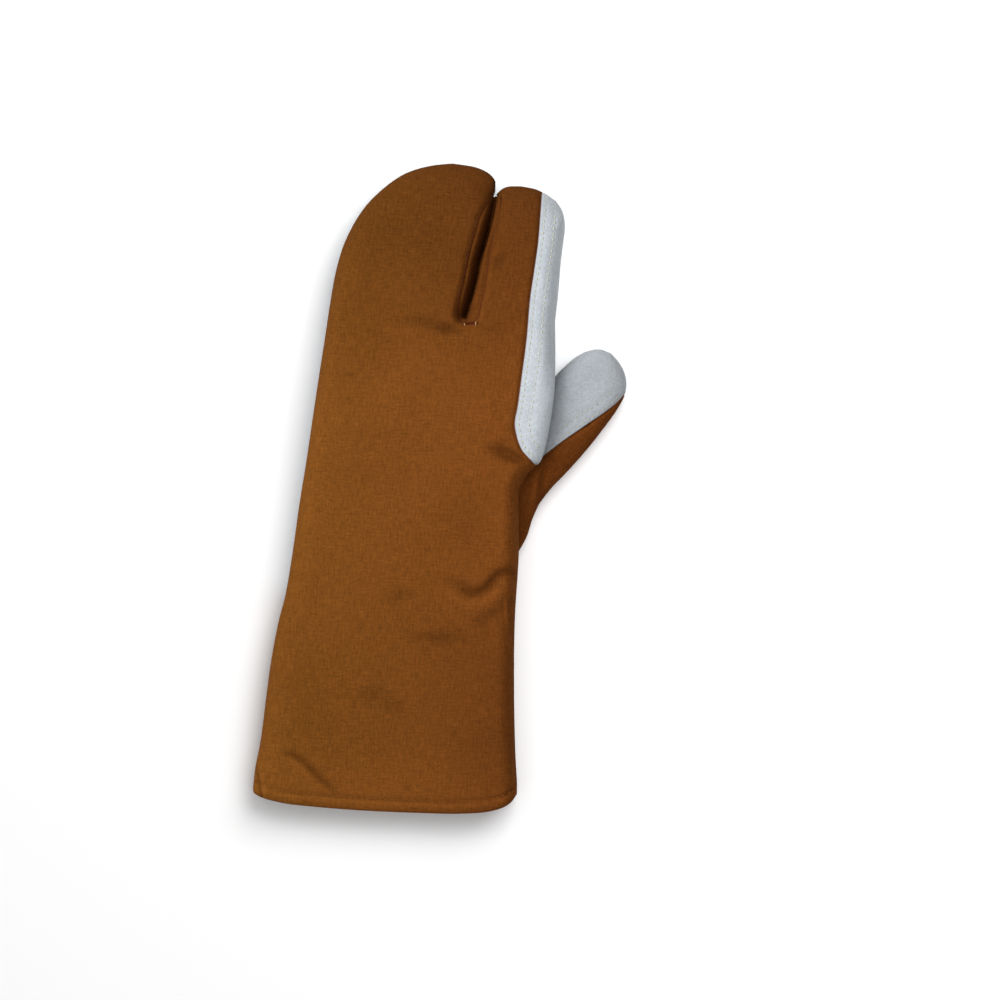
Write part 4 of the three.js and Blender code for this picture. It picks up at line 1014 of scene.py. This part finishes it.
def gusset_skin(step):
    """The cloth in the slit: down the lobe's wall, round the foot and up the index
    finger's wall. Each row runs from the back's seam to the palm's, a little under both."""
    y = even_rows(SLIT_BOTTOM_Y, GUSSET_END_Y - EDGE_ROOM, step)[::-1]
    angle = np.pi * np.arange(1, GUSSET_TURNS) / GUSSET_TURNS
    turn = np.concatenate([0 * y, angle, 0 * y + np.pi])[:, None]
    row_y = np.concatenate([y, 0 * angle + SLIT_BOTTOM_Y, y[::-1]])[:, None]
    shares = across(16, 0, step)
    middle = len(shares) - 1
    shares = np.concatenate([shares[::-1], shares[1:]])
    side = np.sign(middle - np.arange(len(shares)))
    on_lobe = turn < np.pi / 2
    back, palm = (
        np.where(on_lobe, seam_off[name + "_left"](row_y), seam_off[name + "_right"](row_y))
        for name in SEAM_DROPS
    )
    off = (np.where(side > 0, back, palm) + GUSSET_LAP) * shares
    drop = np.where(side > 0, *SEAM_DROPS.values()) + GUSSET_LAP
    opened = ease(shares / 0.06)
    spread = mix(WALLS_MEET, HALF_SLIT, opened)
    wavy = np.where(on_lobe, 0.0, 0.9 * lattice(row_y, 7.0 + off, 6.5, 22))
    wavy = wavy * opened * (1 - ease(shares / 0.6))
    x = slit_x(row_y) - np.cos(turn) * (spread + off + wavy)
    y = row_y - np.sin(turn) * (spread + (drop - HALF_SLIT) * shares)
    points = np.dstack([x, y, gusset_height(x, y, side)])
    u = np.cumsum(np.linalg.norm(steps(points, 1), axis=2), axis=1)
    v = np.cumsum(np.linalg.norm(steps(points, 0)[:, [middle]], axis=2), axis=0) + 0 * u
    towards = np.repeat(np.hstack([np.cos(turn), np.sin(turn), 0 * turn])[:-1], 2 * middle, axis=0)
    return joined([(np.dstack([points, u, v]), towards)])


def thumb_rows(last, step):
    """s of the thumb's sections, crowded at its tip."""
    tip = np.sin(np.pi / 2 * np.arange(1, THUMB_TIP_ROWS + 1) / THUMB_TIP_ROWS)
    body = even_rows(THUMB["s"][0], THUMB_BACK_END, step)
    rows = np.concatenate([body, mix(THUMB_BACK_END, THUMB_TIP, tip)])
    return rows[rows <= last + 1e-6]


def thumb_skin(height, above, below, fractions, **kinds):
    """An upper and a lower run of rows, kept outside the hand's hollow."""
    sides = ((above, 1), (below, -1))
    patches = [patch(height, "thumb", ends, fractions, side, **kinds) for ends, side in sides]
    rows, triangles = joined(patches)
    return clipped(rows, triangles, outside_hollow(rows))


def thumb_leather_skin(step):
    """The thumb's leather, from the inner edge to the seams, which close on the outer edge
    at the tip."""
    s = thumb_rows(THUMB_TIP, step)
    inner, outer, seam, margin = (thumb[key](s) for key in ("inner", "outer", "seam", "margin"))
    at_tip = s > THUMB_BACK_END + 1e-6
    above = (s, inner, s, np.where(at_tip, outer, seam + 0.1))
    below = (s, inner, s, np.where(at_tip, outer, outer - margin + 0.1))
    kinds = {"start": 2, "end": np.where(at_tip, 2, 0), "apex": 2, "zero": 0}
    return thumb_skin(thumb_leather_height, above, below, across(60, 0.5, step), **kinds)


def thumb_cloth_skin(step):
    """The thumb's cloth, from the seam on its upper side round the outer edge to the seam
    underneath, and a little under the leather at both."""
    s = thumb_rows(THUMB_BACK_END, step)
    outer, seam, margin = (thumb[key](s) for key in ("outer", "seam", "margin"))
    above = (s, seam - np.minimum(THUMB_LAP, (outer - seam) * 0.5), s, outer)
    below = (s, outer - margin - THUMB_LAP, s, outer)
    columns = across(50, 0.4, step, flip=True)
    return thumb_skin(thumb_cloth_height, above, below, columns, end=2, zero=-1)


def frames(height, plan, a, b, side):
    """Points on a surface along a plan line, with the line's direction, the direction
    across it and the surface's outward normal at each."""

    def laid(a, b):
        x, y = from_thumb(a, b) if plan == "thumb" else (a, b)
        return np.stack([x, y, height(a, b, side)], axis=-1)

    h = SLOPE_STEP
    point = laid(a, b)
    normal = unit(np.cross(laid(a + h, b) - laid(a - h, b), laid(a, b + h) - laid(a, b - h)))
    normal *= np.where(normal[:, 2:] * side < 0, -1.0, 1.0)
    along = np.gradient(point, axis=0)
    along = unit(along - (along * normal).sum(axis=1)[:, None] * normal)
    return point, along, np.cross(normal, along), normal


def tube(centres, right, up, radius, sides):
    """A closed tube of rings about a line of points, each in the plane of right and up.
    Returns points and quads."""
    ring = np.linspace(0, 2 * np.pi, sides + 1)[:-1, None]
    circle = right[:, None] * np.cos(ring) + up[:, None] * np.sin(ring)
    points = centres[:, None] + np.reshape(radius, (-1, 1, 1)) * circle
    first = np.arange(len(centres) - 1)[:, None] * sides
    a, b = first + np.arange(sides), first + (np.arange(sides) + 1) % sides
    quads = np.stack([a, b, b + sides, a + sides], axis=-1).reshape(-1, 4)
    k = np.arange(1, sides - 1, 2)
    cap = np.stack([0 * k, k + 2, k + 1, k], axis=1)
    last = (len(centres) - 1) * sides + cap[:, ::-1]
    return points.reshape(-1, 3), np.concatenate([quads, cap, last])


def stitches(frame_parts, angle, length, radius):
    """Stitches set into frames and turned from the line's direction by an angle. Each is a
    tube whose rings shrink at both ends, on a line that arches by its own radius."""
    t = np.linspace(-1, 1, 7)
    centres = np.stack([t * length / 2, 0 * t, radius * (0.9 - 1.5 * t**2)], axis=1)
    right, up = np.array([[0.0, 1.0, 0.0]]), np.array([[0.0, 0.0, 1.0]])
    radii = radius * np.sqrt(np.maximum(0.02, 1 - t**4))
    shape, quads = tube(centres, right, up, radii, STITCH_SIDES)
    point, along, off, normal = frame_parts
    c, d = np.cos(angle)[:, None], np.sin(angle)[:, None]
    forward, sideways = along * c + off * d, off * c - along * d
    x, y, z = (shape[None, :, k, None] for k in range(3))
    points = point[:, None] + forward[:, None] * x + sideways[:, None] * y + normal[:, None] * z
    faces = quads + (np.arange(len(point)) * len(shape))[:, None, None]
    return points.reshape(-1, 3), faces.reshape(-1, 4)


def stitch_row(height, plan, a, b, side):
    """Stitches an even pitch apart along a plan line, each turned a little its own way."""
    run = np.cumsum(np.hypot(steps(a, 0), steps(b, 0)))
    count = max(2, int(run[-1] / (sizes().stitch_pitch / MM)))
    at = (np.arange(count) + 0.5) / count * run[-1]
    a, b = np.interp(at, run, a), np.interp(at, run, b)
    angle = 0.1 * lattice(a * 3.1, b * 3.1, 1.0, 51)
    length, radius = sizes().stitch_length / MM, sizes().thread_radius / MM
    return stitches(frames(height, plan, a, b, side), angle, length, radius)


def placed(name, data):
    """A new object in the scene."""
    item = bpy.data.objects.new(name, data)
    bpy.context.scene.collection.objects.link(item)
    return item


def mesh_object(name, points, faces, material):
    """A smooth mesh object from points in table millimetres, riding on the body."""
    mesh = bpy.data.meshes.new(name)
    mesh.from_pydata(((points - ORIGIN) * MM).tolist(), [], faces.tolist())
    mesh.shade_smooth()
    mesh.materials.append(material)
    piece = placed(name, mesh)
    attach(piece, "root")
    return piece


def fill(tree, item, inputs):
    """Sets a node's inputs, to plain values or by links from other nodes' outputs."""
    for key, value in inputs.items():
        if isinstance(value, bpy.types.NodeSocket):
            tree.links.new(value, item.inputs[key])
        else:
            item.inputs[key].default_value = value


def added(tree, kind, inputs=(), **settings):
    """A new node with its settings and inputs. Returns its outputs."""
    item = tree.nodes.new("ShaderNode" + kind)
    for key, value in settings.items():
        setattr(item, key, value)
    fill(tree, item, dict(inputs))
    return item.outputs


def maths(tree, operation, *values):
    """A Math node's result."""
    return added(tree, "Math", enumerate(values), operation=operation)[0]


def noise(tree, vector, scale, detail=2.0, roughness=0.5):
    """A Noise Texture's value, about 0.5 in the middle, with one scale or with three."""
    if isinstance(scale, tuple):
        vector = added(tree, "VectorMath", {0: vector, 1: scale}, operation="MULTIPLY")[0]
        scale = 1.0
    inputs = {"Vector": vector, "Scale": scale, "Detail": detail, "Roughness": roughness}
    return added(tree, "TexNoise", inputs)["Fac"]


def graded(tree, value, low, high, to_low=0.0, to_high=1.0):
    """A value taken from one range to another, held at both ends."""
    inputs = {"Value": value, "From Min": low, "From Max": high, "To Min": to_low, "To Max": to_high}
    return added(tree, "MapRange", inputs)["Result"]


def tinted(tree, mode, amount, a, b):
    """Colour a mixed with b."""
    return added(tree, "Mix", {0: amount, 6: a, 7: b}, data_type="RGBA", blend_type=mode)[2]


def shaded(tree, colour, value):
    """A colour times a number."""
    grey = added(tree, "CombineColor", {0: value, 1: value, 2: value})[0]
    return tinted(tree, "MULTIPLY", 1.0, colour, grey)


def varied(tree, terms):
    """1 plus, for each noise, its way from 0.5 times its amount."""
    total = 1.0
    for value, amount in terms:
        total = maths(tree, "MULTIPLY_ADD", maths(tree, "SUBTRACT", value, 0.5), amount, total)
    return total


def shader_group(name, vectors, numbers):
    """A shader node group that takes vectors, a colour and numbers and gives a colour, a
    height and a roughness. Returns it, its inputs and its end node."""
    group = bpy.data.node_groups.new(name, "ShaderNodeTree")
    results = ((), ("Colour",), ("Height", "Roughness"))
    ways = {"INPUT": (vectors, ("Colour",), numbers), "OUTPUT": results}
    for way, labels in ways.items():
        for kind, names in zip(("Vector", "Color", "Float"), labels):
            for label in names:
                group.interface.new_socket(name=label, in_out=way, socket_type="NodeSocket" + kind)
    return group, group.nodes.new("NodeGroupInput").outputs, group.nodes.new("NodeGroupOutput")


def weave_group():
    """Plain woven cotton: threads both ways at an even pitch over the map, one over the
    other in turn, streaks along the warp, pale slubs and a slow drift of shade."""
    group, given, end = shader_group("Cotton weave", ("Map", "Place"), ("Pitch", "Streaks"))
    x, y, _ = added(group, "SeparateXYZ", {0: given["Map"]})
    turns = maths(group, "DIVIDE", np.pi, given["Pitch"])
    warp, weft = (maths(group, "SINE", maths(group, "MULTIPLY", part, turns)) for part in (x, y))
    over = graded(group, maths(group, "MULTIPLY", warp, weft), -0.25, 0.25)
    warp_top = maths(group, "MULTIPLY", maths(group, "ABSOLUTE", warp), over)
    below = maths(group, "SUBTRACT", 1.0, over)
    threads = maths(group, "MULTIPLY_ADD", maths(group, "ABSOLUTE", weft), below, warp_top)
    streak = noise(group, given["Map"], (950, 150, 1), 3.0, 0.6)
    cross = noise(group, given["Map"], (150, 950, 1))
    speckle = noise(group, given["Map"], (700, 700, 1))
    slub = graded(group, noise(group, given["Map"], (495, 143, 0.55), 1.0), 0.72, 0.82)
    drift = noise(group, given["Place"], 22.0)
    terms = (
        (streak, given["Streaks"]), (cross, 0.6), (speckle, 0.55), (threads, 0.16), (drift, 0.22),
    )
    shade = maths(group, "MULTIPLY_ADD", slub, 0.22, varied(group, terms))
    height = maths(group, "MULTIPLY_ADD", threads, 0.6, maths(group, "MULTIPLY", streak, 0.9))
    colour = shaded(group, given["Colour"], shade)
    roughness = graded(group, streak, 0.3, 0.7, 0.95, 0.82)
    fill(group, end, {"Colour": colour, "Height": height, "Roughness": roughness})
    return group


def suede_group():
    """Split leather's nap: a fine and a middle fibre noise, cloudy patches, and lying
    fibres that shift from patch to patch."""
    group, given, end = shader_group("Split suede", ("Place",), ("Clouds", "Nap"))
    place = given["Place"]
    clouds = noise(group, place, 75.0, 4.0, 0.6)
    patches = noise(group, place, 420.0, 3.0, 0.6)
    fibres = noise(group, place, 1150.0, 3.0, 0.7)
    lying = noise(group, place, (2600, 700, 1500), 2.0, 0.6)
    terms = ((clouds, given["Clouds"]), (patches, 0.3), (fibres, given["Nap"]), (lying, 0.14))
    height = maths(group, "MULTIPLY_ADD", patches, 1.6, fibres)
    height = maths(group, "MULTIPLY_ADD", lying, 0.7, height)
    colour = shaded(group, given["Colour"], varied(group, terms))
    roughness = graded(group, patches, 0.3, 0.7, 1.0, 0.88)
    fill(group, end, {"Colour": colour, "Height": height, "Roughness": roughness})
    return group


def new_material(name):
    """An empty material with a Principled shader linked to its output."""
    material = bpy.data.materials.new(name)
    material.use_nodes = True
    tree = material.node_tree
    tree.nodes.clear()
    shader = tree.nodes.new("ShaderNodeBsdfPrincipled")
    added(tree, "OutputMaterial", {0: shader.outputs[0]})
    return material, tree, shader


def finish(tree, shader, group, inputs, relief, looks):
    """Feeds a finish group's colour, roughness and height to the shader, and its looks."""
    made = added(tree, "Group", inputs, node_tree=group)
    normal = added(tree, "Bump", {"Distance": relief, "Height": made["Height"]})[0]
    feeds = {"Base Color": made["Colour"], "Roughness": made["Roughness"], "Normal": normal}
    fill(tree, shader, {**feeds, **looks})


def cotton(name, colour):
    """Brown woven cotton, its threads following the piece's own map. Painted light makes it paler
    towards the left, and painted shade darker towards the right, the lower right, the
    fingertips and the folds, with painted highlight on the folds' ridges. It is also a
    little darker towards the hem and paler at the hem's edge."""
    material, tree, shader = new_material(name)
    place = added(tree, "TexCoord")["Object"]
    x, y, _ = added(tree, "SeparateXYZ", {0: place})
    crease = added(tree, "Attribute", attribute_name="fold")["Fac"]
    # Painted light towards the left and painted shade towards the right, mixed across x.
    left, right = ((*np.multiply(colour, tint), 1) for tint in (LIT_LEFT_TINT, SHADED_RIGHT_TINT))
    side_lit_colour = tinted(tree, "MIX", graded(tree, x, -0.09, 0.06), left, right)
    # Painted shade at the lower right.
    low_right_painted_shade = maths(tree, "MULTIPLY", graded(tree, x, -0.02, 0.035), graded(tree, y, -0.04, -0.1))
    # Painted shade towards the fingertips; then a little darker towards the hem and paler at the hem's
    # edge.
    tips_painted_shade = graded(tree, y, 0.04, 0.15, 1.0, 0.68)
    towards_hem = graded(tree, y, -0.02, -0.12, 1.0, 0.9)
    at_hem = graded(tree, y, -0.150, -0.185, 1.0, 1.2)
    shade = graded(tree, low_right_painted_shade, 0.0, 1.0, 1.0, 0.82)
    # Painted shade in the folds' dips and painted highlight on their rises, from the fold attribute.
    valley = graded(tree, crease, -2.4, 0.0, 0.62, 1.0)
    ridge = graded(tree, crease, 0.0, 1.0, 1.0, 1.09)
    for factor in (tips_painted_shade, towards_hem, at_hem, valley, ridge):
        shade = maths(tree, "MULTIPLY", factor, shade)
    inputs = {
        "Map": added(tree, "UVMap", uv_map="UVMap")[0], "Place": place,
        "Colour": shaded(tree, side_lit_colour, shade), "Pitch": sizes().thread_pitch, "Streaks": 0.85,
    }
    looks = {
        "Sheen Weight": 0.02, "Sheen Roughness": 0.5, "Sheen Tint": (0.7, 0.35, 0.15, 1),
        "Specular IOR Level": 0.01,
    }
    group = bpy.data.node_groups.get("Cotton weave") or weave_group()
    finish(tree, shader, group, inputs, 0.00014, looks)
    return material


def suede(name, colour):
    """Pale grey split leather with a soft nap and painted shade along its cut edge."""
    material, tree, shader = new_material(name)
    cut = added(tree, "Attribute", attribute_name="edge")["Fac"]
    # Painted shade along the cut edge, where the edge attribute is 1.
    rim = tinted(tree, "MIX", maths(tree, "POWER", cut, 2.5), (*colour, 1), CUT_EDGE_SHADE)
    place = added(tree, "TexCoord")["Object"]
    inputs = {"Place": place, "Colour": rim, "Clouds": 0.22, "Nap": 0.85}
    looks = {"Sheen Weight": 0.2, "Sheen Roughness": 0.6, "Specular IOR Level": 0.2}
    group = bpy.data.node_groups.get("Split suede") or suede_group()
    finish(tree, shader, group, inputs, 0.00022, looks)
    return material


def sewing_thread(name, colour):
    """Sewing thread with a little relief and change of shade."""
    material, tree, shader = new_material(name)
    plies = noise(tree, added(tree, "TexCoord")["Object"], 2600.0)
    shade = graded(tree, plies, 0.3, 0.7, 0.8, 1.15)
    feeds = {
        "Base Color": shaded(tree, (*colour, 1), shade), "Roughness": 0.75,
        "Normal": added(tree, "Bump", {"Distance": 0.0001, "Height": plies})[0],
        "Specular IOR Level": 0.12,
    }
    fill(tree, shader, feeds)
    return material


def length_property(name, description, default):
    return bpy.props.FloatProperty(
        name=name, description=description, default=default, unit="LENGTH", subtype="DISTANCE",
    )


def power_property(name, description, default):
    return bpy.props.FloatProperty(name=name, description=description, default=default, unit="POWER")


def colour_property(name, description, default):
    return bpy.props.FloatVectorProperty(
        name=name, description=description, default=default, size=3, min=0, max=1, subtype="COLOR",
    )


class MittSizes(bpy.types.PropertyGroup):
    cloth_wall: length_property("Cloth wall", "Thickness of the padded cotton", 0.003)
    leather_wall: length_property("Leather wall", "Thickness of the split leather", 0.002)
    gusset_wall: length_property("Gusset wall", "Thickness of the cloth in the slit", 0.0016)
    thread_pitch: length_property("Thread pitch", "Distance between the cloth's threads", 0.0006)
    stitch_pitch: length_property("Stitch pitch", "Distance from stitch to stitch", 0.0034)
    stitch_length: length_property("Stitch length", "Length of thread that shows in one stitch", 0.0023)
    thread_radius: length_property("Thread radius", "Half the sewing thread's thickness", 0.0003)
    mesh_step: length_property("Mesh step", "Distance between the rows of a panel's mesh", 0.0018)


class MittColours(bpy.types.PropertyGroup):
    cloth: colour_property("Cloth", "Brown of the back's cotton", (0.181, 0.0565, 0.0105))
    gusset: colour_property("Gusset", "Brown of the cloth in the slit", (0.165, 0.050, 0.0098))
    # The thumb's brown is the back's cotton darkened by painted shade.
    thumb_cloth: colour_property("Thumb cloth", "Brown of the thumb's cotton", (0.142, 0.042, 0.0078))
    leather: colour_property("Leather", "Pale grey of the split leather", (0.488, 0.526, 0.56))
    thumb_leather: colour_property("Thumb leather", "Grey of the thumb's leather", (0.392, 0.417, 0.446))
    pale_thread: colour_property("Pale thread", "Yellowish thread on the leather", (0.60, 0.61, 0.46))
    thumb_thread: colour_property("Thumb thread", "Thread on the thumb's leather", (0.47, 0.48, 0.38))
    rust_thread: colour_property("Rust thread", "Thread of the hem", (0.20, 0.066, 0.012))
    dark_thread: colour_property("Dark thread", "Thread of the slit", (0.095, 0.018, 0.004))
    tan_thread: colour_property("Tan thread", "Ends of the bar tack at the slit", (0.55, 0.33, 0.14))


class StageSettings(bpy.types.PropertyGroup):
    floor: colour_property("Floor", "Pale colour of the floor", (0.93, 0.93, 0.93))
    key_power: power_property("Key light", "Power of the large soft light", 22.0)
    top_power: power_property("Top light", "Power of the soft light overhead", 13.0)
    floor_power: power_property("Floor light", "Power of the light that whitens the floor", 25.0)
    fill_power: power_property("Floor fill", "Power of the wide light that thins the floor's shadow", 43.0)
    surround: bpy.props.FloatProperty(
        name="Surround", description="Brightness of the pale surround", default=0.22, subtype="FACTOR",
    )
    lean: bpy.props.FloatProperty(
        name="Lean", description="Turn of the camera about its own axis",
        default=float(np.radians(3.4)), subtype="ANGLE", unit="ROTATION",
    )
    view_width: length_property("View width", "Width of the picture at the mitt", 0.59)
    camera_height: length_property("Camera height", "Height of the camera above the floor", 3.0)


def sizes():
    return bpy.context.scene.mitt_sizes


def colours():
    return bpy.context.scene.mitt_colours


def panel(name, skin, wall, material, node, rounding=0.35, form=surface):
    """A finished panel: its skin and wall, its map in metres, its edge values, which the leather
    paints as shade along its cut edge, its folds' height, which the cotton paints as shade and
    highlight, and its place in the frame."""
    rows, triangles = skin(sizes().mesh_step / MM)
    rows, triangles, edge = with_wall(rows, triangles, wall / MM, rounding, form)
    piece = mesh_object(name, rows[:, :3], triangles, material)
    corners = rows[triangles.ravel(), 3:5] * MM
    piece.data.uv_layers.new(name="UVMap").data.foreach_set("uv", corners.astype(np.float32).ravel())
    # Fold height, which the cotton paints as shade in dips and highlight on rises.
    fold = (hand_folds if form is surface else thumb_folds)(*rows[:, :3].T)
    for key, values in (("edge", edge), ("fold", fold)):
        attribute = piece.data.attributes.new(key, "FLOAT", "POINT")
        attribute.data.foreach_set("value", values.astype(np.float32))
    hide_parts(node)


def sewn(name, parts, thread):
    """Stitches or thread as one piece, riding on the body."""
    mesh_object(name, *gathered(parts), thread)


class MITT_OT_back(bpy.types.Operator):
    """Back of the hand, lobe, index finger and gauntlet, in padded cotton"""

    bl_idname = "mitt.back"
    bl_label = "Back cloth"

    def execute(self, context):
        material = cotton("back_cotton", colours().cloth)
        panel("back_cloth", back_skin, sizes().cloth_wall, material, "back_panel")
        return {"FINISHED"}


class MITT_OT_gauntlet_palm(bpy.types.Operator):
    """Underside of the gauntlet, in padded cotton"""

    bl_idname = "mitt.gauntlet_palm"
    bl_label = "Gauntlet underside"

    def execute(self, context):
        material = cotton("gauntlet_cotton", colours().cloth)
        wall = sizes().cloth_wall
        panel(
            "gauntlet_palm_cloth", gauntlet_skin, wall, material, "gauntlet_palm_panel",
        )
        return {"FINISHED"}


class MITT_OT_palm(bpy.types.Operator):
    """Leather of the palm and fingers, with the strip on the index finger's back"""

    bl_idname = "mitt.palm"
    bl_label = "Palm leather"

    def execute(self, context):
        material = suede("palm_suede", colours().leather)
        wall = sizes().leather_wall
        panel("palm_suede_panel", palm_skin, wall, material, "palm_leather", 0.15)
        return {"FINISHED"}


class MITT_OT_gusset(bpy.types.Operator):
    """Cloth in the slit between the lobe and the index finger"""

    bl_idname = "mitt.gusset"
    bl_label = "Slit gusset"

    def execute(self, context):
        material = cotton("gusset_cotton", colours().gusset)
        wall = sizes().gusset_wall
        panel("slit_gusset", gusset_skin, wall, material, "finger_fourchette")
        return {"FINISHED"}


class MITT_OT_thumb(bpy.types.Operator):
    """The thumb's leather and its cloth back"""

    bl_idname = "mitt.thumb"
    bl_label = "Thumb"

    def execute(self, context):
        leather = suede("thumb_suede", colours().thumb_leather)
        cloth = cotton("thumb_cotton", colours().thumb_cloth)
        panel(
            "thumb_suede_panel", thumb_leather_skin, sizes().leather_wall, leather,
            "thumb_leather", 0.15, thumb_form,
        )
        panel(
            "thumb_back_cloth", thumb_cloth_skin, sizes().cloth_wall, cloth,
            "thumb_back", form=thumb_form,
        )
        return {"FINISHED"}


class MITT_OT_leather_stitches(bpy.types.Operator):
    """Two rows of pale stitches along each lapped edge of the leather"""

    bl_idname = "mitt.leather_stitches"
    bl_label = "Leather stitches"

    def execute(self, context):
        pale = sewing_thread("pale_thread", colours().pale_thread)
        dull = sewing_thread("thumb_thread", colours().thumb_thread)
        strip_rows, palm_rows, thumb_parts = [], [], []
        palm_x, s = np.linspace(*PALM_ROW_X, 80), np.linspace(*THUMB_ROW_S, 60)
        for distance, strip_distance in zip(LEATHER_ROWS, STRIP_ROWS):
            x, y = beside(*SEAMS["strip"], strip_distance)
            on_back = x < body_right(y) - STRIP_ROW_ROOM
            keep = on_back & (y > STRIP_START_Y) & (y < STRIP_ROW_END_Y)
            strip_rows.append(stitch_row(leather_height, "hand", x[keep], y[keep], 1))
            palm_y = 0 * palm_x + LEATHER_START_Y + distance
            palm_rows.append(stitch_row(leather_height, "hand", palm_x, palm_y, -1))
            n = thumb["seam"](s) - distance
            thumb_parts.append(stitch_row(thumb_leather_height, "thumb", s, n, 1))
        sewn("strip_stitches", strip_rows, pale)
        sewn("palm_edge_stitches", palm_rows, pale)
        sewn("thumb_edge_stitches", thumb_parts, dull)
        return {"FINISHED"}


class MITT_OT_cloth_stitches(bpy.types.Operator):
    """The hem's stitches, the slit's seam thread and the bar tack"""

    bl_idname = "mitt.cloth_stitches"
    bl_label = "Cloth stitches"

    def execute(self, context):
        rust = sewing_thread("rust_thread", colours().rust_thread)
        dark = sewing_thread("dark_thread", colours().dark_thread)
        tan = sewing_thread("tan_thread", colours().tan_thread)
        hem = []
        for first, last, count, side in HEM_ROWS:
            x = np.linspace(first, last, count)
            height = back_height if side > 0 else cloth_height
            hem.append(stitch_row(height, "hand", x, hem_line(x) + HEM_ROW, side))
        sewn("hem_stitches", hem, rust)

        x, y = SEAMS["back"]
        keep = y < SLIT_THREAD_END_Y
        point, _, _, normal = frames(back_height, "hand", x[keep], y[keep], 1)
        centres = point - normal * SLIT_THREAD_SINK
        along = unit(np.gradient(centres, axis=0))
        right = unit(np.cross(normal, along))
        up = np.cross(along, right)
        thread = tube(centres, right, up, SLIT_THREAD_RADIUS, SLIT_THREAD_SIDES)
        sewn("slit_seam_thread", [thread], dark)

        x = np.linspace(*TACK["x"], TACK["count"])
        y = TACK["y"] + TACK["rise"] * (x - slit_x(SLIT_BOTTOM_Y))
        at_ends = np.isin(np.arange(len(x)), TACK_ENDS)
        tack = frames(back_height, "hand", x, y, 1)
        for name, keep, thread in (("tack_ends", at_ends, tan), ("tack_middle", ~at_ends, dark)):
            quarter_turn = np.full(keep.sum(), np.pi / 2)
            parts = [values[keep] for values in tack]
            bars = stitches(parts, quarter_turn, TACK["length"], TACK["radius"])
            sewn(name, [bars], thread)
        return {"FINISHED"}


class MITT_OT_stage(bpy.types.Operator):
    """A plain pale floor, soft light and the camera"""

    bl_idname = "mitt.stage"
    bl_label = "Stage"

    def execute(self, context):
        scene = context.scene
        stage = scene.mitt_stage
        pieces = [item for item in scene.collection.objects if item.type == "MESH"]
        mesh = bpy.data.meshes.new("floor")
        signs = ((-1, -1), (1, -1), (1, 1), (-1, 1))
        corners = [(x * FLOOR_HALF, y * FLOOR_HALF, -FLOOR_DROP) for x, y in signs]
        mesh.from_pydata(corners, [], [(0, 1, 2, 3)])
        floor = placed("floor", mesh)
        material, tree, shader = new_material("floor_paper")
        fill(tree, shader, {"Base Color": (*stage.floor, 1), "Roughness": 0.9, "Specular IOR Level": 0.1})
        mesh.materials.append(material)

        world = bpy.data.worlds.new("pale_surround")
        world.use_nodes = True
        fill(world.node_tree, world.node_tree.nodes["Background"], {0: (1, 1, 1, 1), 1: stage.surround})
        scene.world = world
        scene.view_settings.view_transform = "Standard"

        ground = bpy.data.collections.new("lit_floor")
        ground.objects.link(floor)
        mitt = bpy.data.collections.new("lit_mitt")
        for piece in pieces:
            mitt.objects.link(piece)
        lights = (
            ("key_light", (-0.9, 0.35, 1.25), 0.9, stage.key_power, mitt),
            ("top_light", (-0.1, 0.1, 1.8), 1.2, stage.top_power, mitt),
            ("floor_light", (0.55, 0.85, 1.5), 1.2, stage.floor_power, ground),
            ("floor_fill", (0.0, 0.0, 2.5), 3.5, stage.fill_power, ground),
        )
        for name, place, size, power, lit in lights:
            data = bpy.data.lights.new(name, "AREA")
            data.shape = "SQUARE"
            data.size = size
            data.energy = power
            light = placed(name, data)
            light.location = place
            light.rotation_euler = (-Vector(place)).to_track_quat("-Z", "Y").to_euler()
            light.light_linking.receiver_collection = lit

        data = bpy.data.cameras.new("camera")
        data.sensor_width = SENSOR_WIDTH
        data.sensor_fit = "HORIZONTAL"
        data.lens = SENSOR_WIDTH * (stage.camera_height - MIDDLE_HEIGHT) / stage.view_width
        data.clip_start = 0.05
        data.clip_end = 20.0
        camera = placed("camera", data)
        camera.location = (*VIEW_CENTRE, stage.camera_height)
        camera.rotation_euler = (0.0, 0.0, stage.lean)
        scene.camera = camera
        return {"FINISHED"}


OPERATORS = (
    MITT_OT_back,
    MITT_OT_gauntlet_palm,
    MITT_OT_palm,
    MITT_OT_gusset,
    MITT_OT_thumb,
    MITT_OT_leather_stitches,
    MITT_OT_cloth_stitches,
    MITT_OT_stage,
)
SETTINGS = {"mitt_sizes": MittSizes, "mitt_colours": MittColours, "mitt_stage": StageSettings}


class MITT_PT_panel(bpy.types.Panel):
    """The mitt's pieces, sizes and colours"""

    bl_idname = "MITT_PT_panel"
    bl_label = "Mitt"
    bl_space_type = "VIEW_3D"
    bl_region_type = "UI"
    bl_category = "Mitt"

    def draw(self, context):
        column = self.layout.column()
        for operator in OPERATORS:
            column.operator(operator.bl_idname)
        for name in SETTINGS:
            box = self.layout.box()
            group = getattr(context.scene, name)
            for key in group.bl_rna.properties.keys():
                if key not in ("rna_type", "name"):
                    box.prop(group, key)


CLASSES = (*SETTINGS.values(), *OPERATORS, MITT_PT_panel)


def register():
    for item in CLASSES:
        bpy.utils.register_class(item)
    for name, group in SETTINGS.items():
        setattr(bpy.types.Scene, name, bpy.props.PointerProperty(type=group))


def unregister():
    for name in SETTINGS:
        delattr(bpy.types.Scene, name)
    for item in reversed(CLASSES):
        bpy.utils.unregister_class(item)


def main():
    register()
    for operator in OPERATORS:
        group, name = operator.bl_idname.split(".")
        getattr(getattr(bpy.ops, group), name)()
    bpy.context.view_layer.update()


if __name__ == "__main__":
    main()
